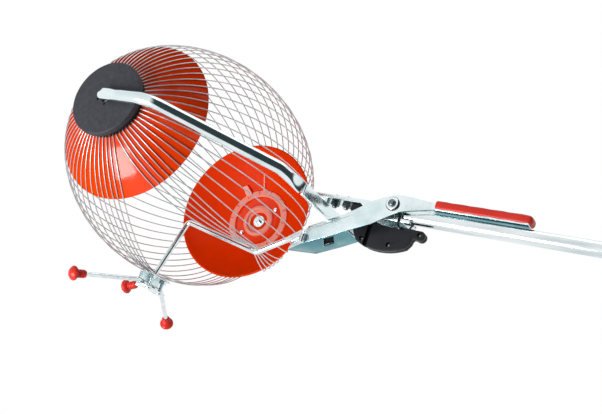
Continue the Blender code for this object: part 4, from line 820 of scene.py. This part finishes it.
def inset(outline, distance):
    moved = []
    count = len(outline)
    for i, corner in enumerate(outline):
        here = Vector(corner)
        before = (here - Vector(outline[i - 1])).normalized()
        after = (Vector(outline[(i + 1) % count]) - here).normalized()
        first = Vector((-before.y, before.x))
        second = Vector((-after.y, after.x))
        mitre = (first + second).normalized()
        moved.append(tuple(here + mitre * (distance / max(mitre.dot(second), 0.35))))
    return moved


HOUSING_SCREWS = ((0.2745, -0.0528), (0.3106, -0.0553), (0.3452, -0.0372))
STEP_FRONT, STEP_REAR = 0.2780, 0.2836
STEP_BOTTOM, STEP_TOP = -0.0640, -0.0240


def make_shell(label, side):
    low, high = mirrored(side, GAP / 2, HOUSING_HALF)
    outline = housing_outline()
    shell = side_plate(label + "_shell", outline, low, high, BLACK)
    round_edges(shell, 0.0007, 3, 50.0)
    neck = box("neck", (low, PIVOT.y - 0.0595, -0.021), (high, PIVOT.y - 0.0465, -0.0091))
    combine(shell, [neck], "UNION")
    outside = HOUSING_HALF + 0.002
    groove = side_plate("groove", inset(outline, 0.0024), *mirrored(side, HOUSING_HALF - 0.0007, outside))
    combine(groove, [side_plate("core", inset(outline, 0.0031), *mirrored(side, 0.0030, 0.009))])
    step_low, step_high = mirrored(side, HOUSING_HALF - 0.0030, outside)
    step = box("step", (step_low, STEP_FRONT, STEP_BOTTOM), (step_high, STEP_REAR, STEP_TOP))
    wells, ways = [], []
    for k, (y, z) in enumerate(HOUSING_SCREWS):
        seat = along_x(place(0, y, z))
        wells.append(drill(f"well_{k}", 0.0029, *mirrored(side, 0.0018, 0.009), seat, 32))
        ways.append(drill(f"way_{k}", 0.0021, -0.02, 0.02, seat))
    combine(shell, [groove, step] + wells + ways)
    # The floor of the groove step is painted near-black: painted shade in the recess.
    paint(shell, BLACK_PAINTED_SHADE, lambda spot, normal: (
        STEP_FRONT + 0.0001 < spot.y < STEP_REAR - 0.0001
        and STEP_BOTTOM + 0.0002 < spot.z < STEP_TOP - 0.0002 and abs(spot.x) < HOUSING_HALF - 0.0004))
    dress(shell, "frame", label + "_housing_shell")


def make_housing():
    make_shell("near", 1)
    make_shell("far", -1)
    for k, (y, z) in enumerate(HOUSING_SCREWS, start=1):
        fine_bolt(f"shell_screw_{k}", along_x(place(0.0019, y, z)), 0.0017, 0.0025, 0.0012, 0.0055,
                  "frame", f"housing_screw_{k}", surface=SPRING)


# Pivot and spring

LEVER_HALF = 0.0192
SLEEVE_RADIUS = 0.0078
SLEEVE_START, SLEEVE_END = 0.0114, 0.0169


def make_pivot():
    where = along_x(HINGE)
    high = LEVER_HALF + GAP + 0.0028 + GAP
    fine_bolt("pivot_bolt_fine", where @ Matrix.Translation((0, 0, high)), 0.0030, 0.0048, 0.0032,
              2 * high + 0.007, "frame", "pivot_bolt", 0.034, SPRING)
    fine_nut("pivot_nut_fine", where, BOLT_HOLE, 0.0058, -high - 0.005, -high, "frame", "pivot_nut")
    for label, side in SIDES:
        across = along_x(HINGE, side)
        profile = [(BOLT_HOLE, 0.0223), (0.0072, 0.0223), (0.0076, 0.0220), (0.0076, 0.0213),
                   (0.0084, 0.0210), (0.0084, 0.0198), (0.0081, 0.0195), (BOLT_HOLE, 0.0195)]
        washer = turned(label + "_washer", profile, 48, across, ZINC, True)
        # The washer's lower rim next to the cheek is painted black: painted shade beside the washer.
        paint(washer, BLACK, lambda spot, normal: abs(spot.x) < 0.0214 and abs(normal.x) < 0.98)
        dress(washer, "frame", label + "_pivot_washer")
        fine_washer(label + "_pivot_sleeve", across, SLEEVE_RADIUS, SLEEVE_START, SLEEVE_END, "frame",
                    label + "_pivot_bush", NYLON)


LOWER_EDGE = [(0.181, -0.084), (0.209, -0.077), (0.241, -0.062), (0.264, -0.050), (0.287, -0.039),
              (0.303, -0.028), (0.317, -0.019), (0.354, -0.0056), (0.468, -0.0056)]
UPPER_EDGE = [(0.468, 0.0038), (0.330, 0.0038), (0.316, 0.0026), (0.305, 0.0008), (0.296, -0.0026),
              (0.283, -0.009), (0.251, -0.032), (0.209, -0.0545), (0.181, -0.080)]
BAR_START, BAR_FLOOR = LOWER_EDGE[-2]
LEVER_WALL = 0.002
WEB = LEVER_WALL / cos(radians(28))


def lever_floor(reach):
    for (a, low), (b, high) in zip(LOWER_EDGE, LOWER_EDGE[1:]):
        if a <= reach <= b:
            return low + (high - low) * (reach - a) / (b - a)
    return LOWER_EDGE[-1][1]


def make_spring():
    """A torsion spring round the near sleeve; its front leg stands on the lever's web."""
    wire = 0.0011
    radius = SLEEVE_RADIUS + 0.0004 + wire
    first_x = SLEEVE_START + wire + GAP
    last_x = SLEEVE_END - wire - GAP
    foot = Vector((-0.054, lever_floor(0.254) + WEB + 0.0012 + 0.010))
    shoulder = Vector((0.0098, -0.0130))
    start = atan2(shoulder.y, shoulder.x) + acos(radius / shoulder.length)
    end = atan2(foot.y, foot.x) - acos(radius / foot.length)
    while end - start < 1.5 * tau:
        end += tau
    path = [Vector(p) for p in (
        (0.0030, 0.0262, -0.0164), (0.0030, 0.0250, -0.0168), (0.0030, 0.0240, -0.0180),
        (0.0030, 0.0228, -0.0205), (0.0030, 0.0222, -0.0235), (0.0030, 0.0205, -0.0252),
        (0.0040, 0.0170, -0.0255), (0.0060, 0.0125, -0.0240), (0.0085, 0.0105, -0.0222),
        (0.0112, 0.0099, -0.0200), (first_x, 0.0098, -0.0170))]
    path.append(Vector((first_x, shoulder.x, shoulder.y)))
    for k in range(81):
        angle = start + (end - start) * k / 80
        path.append(Vector((first_x + (last_x - first_x) * k / 80,
                            radius * cos(angle), radius * sin(angle))))
    path.append(Vector((last_x, foot.x, foot.y)))
    spring = sweep("spring", [HINGE + p for p in path], wire, DARK_WIRE, 10)
    dress(spring, "frame", "return_spring")


# Lever and opener

TIP_HALF = 0.0015
LEVER_TIP = 0.181
NECK_START = 0.209
LEVER_END = 0.468


def lever_plan(inwards):
    """The lever seen from above, or the room inside its cheeks."""
    wide = LEVER_HALF - inwards
    bar = 0.0085 - inwards
    slope = (NECK_START - LEVER_TIP) / (LEVER_HALF - TIP_HALF)
    if inwards:
        side = [(0.0, LEVER_TIP + inwards * sqrt(1 + slope * slope) - TIP_HALF * slope)]
    else:
        side = [(TIP_HALF, LEVER_TIP)]
    side += [(wide, NECK_START + inwards * 0.3), (wide, 0.3190 - inwards * 0.2),
             (wide - 0.0012, 0.3240 - inwards * 0.2), (bar + 0.0010, 0.3500 - inwards * 0.2),
             (bar, 0.3560 - inwards * 0.2), (bar, LEVER_END + inwards)]
    other = [(-x, y) for x, y in reversed(side)]
    return side + (other[:-1] if inwards else other)


def web_rear():
    """Where the web ends, clear of the housing's swing about the pivot."""
    reach = NECK_START
    while hypot(reach - PIVOT.y, lever_floor(reach) + WEB - PIVOT.z) > 0.0612:
        reach += 0.0002
    return reach - 0.0002


WINDOW = [(-0.0052, 0.2240), (0.0155, 0.2318), (0.0155, 0.2439), (-0.0040, 0.2374)]


def make_lever():
    base = Matrix.Translation(SPIN)
    lever = side_plate("lever", LOWER_EDGE + UPPER_EDGE, -0.03, 0.03)
    combine(lever, [plate("plan", lever_plan(0.0), -0.12, 0.05, base, ZINC)], "INTERSECT")
    round_edges(lever, 0.0008, 3)
    web_end = web_rear()
    front = [(y, z + WEB) for y, z in LOWER_EDGE if y < web_end]
    front[0] = (0.171, front[0][1])
    low = BAR_FLOOR + LEVER_WALL
    cavity = front + [(web_end, lever_floor(web_end) + WEB), (web_end, lever_floor(web_end) - 0.006),
                      (PIVOT.y + 0.012, -0.06), (BAR_START, -0.03), (BAR_START, low), (0.478, low),
                      (0.478, 0.03), (0.171, 0.03)]
    hollow = side_plate("cavity", cavity, -0.028, 0.028)
    combine(hollow, [plate("cavity_plan", lever_plan(LEVER_WALL), -0.13, 0.06, base, ZINC)], "INTERSECT")
    hole = drill("pivot_hole", BOLT_HOLE, -0.03, 0.03, along_x(HINGE))
    window = plate("window", WINDOW, -0.09, -0.055, base, ZINC)
    crease = [(0.290, -0.0105), (0.258, -0.0330), (0.218, -0.0550)]
    crease += [(y, z - 0.0011) for y, z in reversed(crease)]
    grooves = [side_plate(f"line_{side}", crease, *mirrored(side, 0.0189, 0.021)) for side in (1, -1)]
    combine(lever, [hollow, hole, window] + grooves)
    round_edges(lever, 0.00025, 1, 50.0)
    # Faces turned downwards take the darker zinc: painted shade on the lever's underside.
    paint(lever, ZINC_PAINTED_SHADE, lambda spot, normal: normal.z < -0.6)
    dress(lever, "lever", "lever_channel")
    # A near-black sheet inside the channel behind the web's window: painted shade seen through the window,
    # with a zinc strip beside it.
    outline = [(y, lever_floor(y) + (WEB + 0.0003)) for y in (0.2215, 0.2465)]
    outline += [(y, z + 0.0012) for y, z in reversed(outline)]
    dress(side_plate("lever_window_shade", outline, -0.0039, 0.0165, BLACK_PAINTED_SHADE), "lever")
    dress(side_plate("lever_tab_edge", outline, -0.0090, -0.0040), "lever")


def make_grip():
    """A thick dip over the lever's bar, square with round corners and open below."""
    half, top, low = 0.0101, 0.0072, -0.0050
    start, end = 0.355, 0.4713
    ring_count, sides, power = 14, 40, 0.55
    shape = bmesh.new()
    rings = []
    stations = [(start, -0.0009), (start + 0.0006, -0.0003), (start + 0.0020, 0.0)]
    stations += [(start + 0.003 + (end - 0.009 - start) * k / ring_count, 0.0002 * sin(2.1 * k))
                 for k in range(ring_count + 1)]
    stations += [(end - 0.0040, -0.0004), (end - 0.0022, -0.0012), (end - 0.0008, -0.0026), (end, -0.0048)]
    for y, grow in stations:
        ring = []
        for k in range(sides):
            a = tau * (k + 0.5) / sides
            c, s = cos(a), sin(a)
            x = (half + grow) * copysign(abs(c) ** power, c)
            z = (top + low) / 2 + ((top - low) / 2 + grow) * copysign(abs(s) ** power, s)
            ring.append(shape.verts.new(place(x, y, z)))
        rings.append(ring)
    ring_faces(shape, rings, capped=True)
    grip = make_object("grip", shape, RED, 40)
    inner = 0.0088
    combine(grip, [box("bar_way", (-inner, start - 0.01, low - 0.004), (inner, 0.4683, 0.0041))])
    dress(grip, "lever", "lever_grip")


def make_rod():
    """The bent rod, from its stub on the near cheek to the foot, and the weld beside the stub."""
    run = Vector((LEVER_HALF - TIP_HALF, NECK_START - LEVER_TIP)).normalized()
    out = Vector((run.y, -run.x)) * (ROD_RADIUS + 2 * GAP)
    shoulder = Vector((LEVER_HALF, NECK_START)) + out + run * 0.002
    nose = Vector((TIP_HALF, LEVER_TIP)) + out - run * 0.002
    shoulder_z, nose_z = -0.0635, -0.0725
    corners = [Vector((shoulder.x, shoulder.y, -0.0775)), Vector((shoulder.x, shoulder.y, shoulder_z)),
               Vector((nose.x, nose.y, nose_z)), VALLEY, APEX, FOOT_END]
    path = bent_path(corners, [0.0055, 0.012, 0.008, 0.006])
    fine = [path[0]]
    for a, b in zip(path, path[1:]):
        count = max(1, int((b - a).length / 0.008))
        fine += [a.lerp(b, k / count) for k in range(1, count + 1)]
    rod = sweep("rod", [SPIN + p for p in fine], ROD_RADIUS, BAR, 24)
    dress(rod, "lever", "opener_rod")
    shape = bmesh.new()
    inward = Vector((-out.x, -out.y)).normalized() * 0.0030
    for k in range(9):
        share = 0.18 + 0.62 * k / 8
        spot = shoulder.lerp(nose, share)
        z = shoulder_z + (nose_z - shoulder_z) * share
        blob = bmesh.ops.create_uvsphere(shape, u_segments=14, v_segments=10,
                                         radius=0.0014 + 0.0002 * sin(k * 2.3))
        bmesh.ops.translate(shape, vec=place(spot.x + inward.x, spot.y + inward.y, z - 0.0026),
                            verts=blob["verts"])
    weld = make_object("weld", shape, ZINC, 60)
    remesh = weld.modifiers.new("melt", "REMESH")
    remesh.mode = "VOXEL"
    remesh.voxel_size = 0.0005
    bake(weld, 70)
    dress(weld, "lever")


# Foot

PRONG_RADIUS = 0.003
TIP_SOCKET = 0.009
FOOT_WALL = 0.002
FOOT_ROOM = 0.0155
FOOT_HALF = 0.0225
FOOT_LOW = FOOT_TOP - 2 * FOOT_WALL - FOOT_ROOM
FOOT_FRONT = -PRONG_RADIUS - GAP - FOOT_WALL - 0.001
PRONG = Vector((0.0, FOOT_FRONT + FOOT_WALL + GAP + PRONG_RADIUS,
                FOOT_TOP - FOOT_WALL - FOOT_ROOM + GAP + PRONG_RADIUS))


def make_foot():
    rear = FOOT_FRONT + 0.018
    bracket = box("foot", (-FOOT_HALF, FOOT_FRONT, FOOT_LOW), (FOOT_HALF, rear, FOOT_TOP))
    round_edges(bracket, 0.0012, 3)
    seats = [(label, Matrix.Translation(place(x, PRONG.y + PRONG_RADIUS + 0.0025 + 0.0032, 0)))
             for label, x in (("far", -0.0125), ("near", 0.0125))]
    holes = [drill(f"foot_hole_{label}", 0.0028, FOOT_LOW - 0.01, -0.14, seat) for label, seat in seats]
    hollow = box("foot_inside", (-0.04, FOOT_FRONT + FOOT_WALL, FOOT_LOW + FOOT_WALL),
                 (0.04, rear + 0.01, -0.155))
    combine(bracket, [hollow] + holes)
    round_edges(bracket, 0.0002, 1, 50.0)
    dress(bracket, "lever", "foot_bracket")
    for label, seat in seats:
        head = seat @ Matrix.Translation((0, 0, FOOT_LOW - GAP)) @ Matrix.Rotation(pi, 4, "X")
        fine_bolt(label + "_foot_bolt_fine", head, 0.0025, 0.0044, 0.0025, 0.0200, "lever",
                  label + "_foot_bolt", 0.003)
        fine_nut(label + "_foot_nut_fine", seat, 0.0028, 0.0046, -0.1593, -0.1553, "lever",
                 label + "_foot_nut")


def make_tip(label, head, direction):
    """A rubber mushroom with a domed head and a ribbed neck."""
    h = 0.005
    dome = ((0.0022, 0.0002), (0.0044, 0.0010), (0.0063, 0.0022), (0.0079, 0.0037), (0.0088, 0.0048),
            (0.0092, 0.0060), (0.0091, 0.0074), (0.0084, 0.0086), (0.0072, 0.0094), (0.0056, 0.0100),
            (0.0046, 0.0104))
    profile = [(0.0, h)] + [(radius, h - drop) for radius, drop in dome]
    for k in range(4):
        z = -h - 0.0012 - 0.0025 * k
        profile += [(0.0046, z), (0.0053, z - 0.0003), (0.0054, z - 0.0010), (0.0052, z - 0.0015),
                    (0.0046, z - 0.0018)]
    profile += [(0.0047, -h - 0.0118), (0.0044, -h - 0.012), (0.0033, -h - 0.012), (0.0033, -h - 0.0037),
                (0, -h - 0.0037)]
    tip = turned(label + "_rubber", profile, 56, along(SPIN + head, direction), RED, False, 45)
    dress(tip, "lever", label + "_tip")


def make_prongs():
    ends = []
    for label, side in (("far", -1), ("near", 1)):
        start = PRONG + Vector((side * 0.027, 0, 0))
        tip = Vector((side * 0.107, -0.034, -0.194))
        direction = (tip - start).normalized()
        make_tip(label, tip, direction)
        ends.append((start, tip - direction * TIP_SOCKET))
    corners = [ends[0][1], ends[0][0], ends[1][0], ends[1][1]]
    path = bent_path(corners, [0.012, 0.012])
    cross = sweep("cross_rod", [SPIN + p for p in path], PRONG_RADIUS, BAR, 24)
    dress(cross, "lever", "foot_cross_rod")
    tip = Vector((0.0, -0.038, -0.176))
    root = Vector((0.0, -0.003 - 2 * GAP - 0.003, -0.163))
    direction = (tip - root).normalized()
    root += direction * (PRONG_RADIUS * abs(direction.z / direction.y))
    prong = sweep("front_prong", [SPIN + root, SPIN + tip - direction * TIP_SOCKET], PRONG_RADIUS, BAR, 24)
    dress(prong, "lever", "foot_front_prong")
    make_tip("front", tip, direction)


# Room, light and camera; RIGHT, UP and BACK are the camera's own axes

AMBIENT = 0.20
WHITE = (1, 1, 1, 1)
FLOOR_HEIGHT = -1.30
FLOOR_HALF = 2.4
RIGHT = Vector((-0.4271, 0.8471, 0.3163))
UP = Vector((0.3842, -0.1466, 0.9115))
BACK = Vector((0.8185, 0.5108, -0.2628))
DARK_SIDE = RIGHT * 0.70 + UP * 0.12 + BACK * 0.68
ARM_RUN = Vector((-0.714, 0.699, -0.076))
EYE = place(1.0296, 0.8206, -0.3572)


def make_floor():
    """A pale floor, nearly white where it is seen, and fading to the white background at its edge."""
    surface = material("pale_floor", [(0.3, (0.90, 0.90, 0.90)), (0.7, (0.94, 0.94, 0.94))], 0.8,
                       (0.8, 0.9), 2.0, specular=0.1)
    tree = surface.node_tree
    spot = node(tree, "TexCoord").outputs["Object"]
    away = node(tree, "VectorMath", {0: spot}, operation="LENGTH").outputs["Value"]
    whiteness = remap(tree, away, 1.55, 2.65, 0.90, 1.0)
    share = node(tree, "Math", {0: seen_directly(tree), 1: whiteness}, operation="MULTIPLY")
    glow = node(tree, "Emission", {"Color": WHITE, "Strength": 1.0})
    mix = blend(tree, share.outputs["Value"], tree.nodes["Principled BSDF"].outputs["BSDF"],
                glow.outputs["Emission"])
    tree.links.new(mix, tree.nodes["Material Output"].inputs["Surface"])
    shape = bmesh.new()
    bmesh.ops.create_grid(shape, x_segments=1, y_segments=1, size=FLOOR_HALF)
    bmesh.ops.translate(shape, vec=(0, 0, FLOOR_HEIGHT), verts=shape.verts)
    floor = make_object("floor", shape, surface)
    floor.visible_glossy = False


def seen_directly(tree):
    """1 for camera, glossy and transmission rays, which show the background."""
    ray = node(tree, "LightPath").outputs
    seen = ray["Is Camera Ray"]
    for kind in ("Is Glossy Ray", "Is Transmission Ray"):
        seen = node(tree, "Math", {0: seen, 1: ray[kind]}, operation="MAXIMUM").outputs["Value"]
    return seen


def toward(tree, direction, stops, change=None):
    """A ramp over the cosine between the ray and a direction."""
    ray = node(tree, "TexCoord").outputs["Generated"]
    cosine = node(tree, "VectorMath", {0: ray, 1: direction.normalized()}, operation="DOT_PRODUCT")
    value = cosine.outputs["Value"]
    if change:
        value = node(tree, "Math", {0: value}, operation=change).outputs["Value"]
    return ramp(tree, value, stops)


def background(tree, colour, strength=1.0):
    made = node(tree, "Background", {"Color": colour, "Strength": strength})
    return made.outputs["Background"]


def blend(tree, share, first, second):
    return node(tree, "MixShader", {0: share, 1: first, 2: second}).outputs["Shader"]


def make_world():
    """White behind the object, soft for diffuse light, and in reflections dark on one side."""
    world = bpy.data.worlds.new("studio")
    bpy.context.scene.world = world
    world.use_nodes = True
    tree = world.node_tree
    tree.nodes.clear()
    panel = node(tree, "Math", {
        0: toward(tree, DARK_SIDE, [(0.36, (0, 0, 0)), (0.47, (1, 1, 1))]),
        1: toward(tree, ARM_RUN, [(0.38, (1, 1, 1)), (0.55, (0, 0, 0))], "ABSOLUTE")}, operation="MULTIPLY")
    studio = ramp(tree, panel.outputs["Value"], [(0.0, (1, 1, 1)), (1.0, (0.035, 0.050, 0.055))])
    light = blend(tree, seen_directly(tree), background(tree, WHITE, AMBIENT), background(tree, studio))
    camera_ray = node(tree, "LightPath").outputs["Is Camera Ray"]
    node(tree, "OutputWorld", {"Surface": blend(tree, camera_ray, light, background(tree, WHITE))})


def make_camera():
    data = bpy.data.cameras.new("camera")
    data.lens = 60.58
    data.sensor_width = 36
    data.clip_start = 0.05
    camera = link("camera", data)
    turn = Matrix((RIGHT.normalized(), UP.normalized(), BACK.normalized())).transposed()
    camera.matrix_world = Matrix.Translation(EYE) @ turn.to_4x4()
    bpy.context.scene.camera = camera


def make_lamp(name, where, target, size, power):
    data = bpy.data.lights.new(name, "AREA")
    data.energy = power
    data.size = size
    link(name, data).matrix_world = along(where, where - target)


def make_lights():
    """A soft key from below on the left, as in the photograph, and a weak lamp overhead."""
    middle = Vector((0, -0.20, 0))
    key = Vector((0.169, -0.372, -0.050)) + (RIGHT * -0.69 + UP * -0.34 + BACK * 0.64) * 1.1
    make_lamp("key", key, middle, 0.56, 13.5)
    make_lamp("overhead", Vector((0.3, 0.15, 1.8)), middle, 1.4, 8.0)


make_camera()
make_wires()
make_comb("near", 1, "cage_wires")
make_comb("far", -1, "far_comb_ring")
for label, side in SIDES:
    make_hub(label, side)
    make_arm(label, side)
make_crossbar()
make_bracket()
make_handle()
make_housing()
make_pivot()
make_spring()
make_lever()
make_grip()
make_rod()
make_foot()
make_prongs()
make_floor()
make_world()
make_lights()

bpy.context.scene.view_settings.view_transform = "Standard"
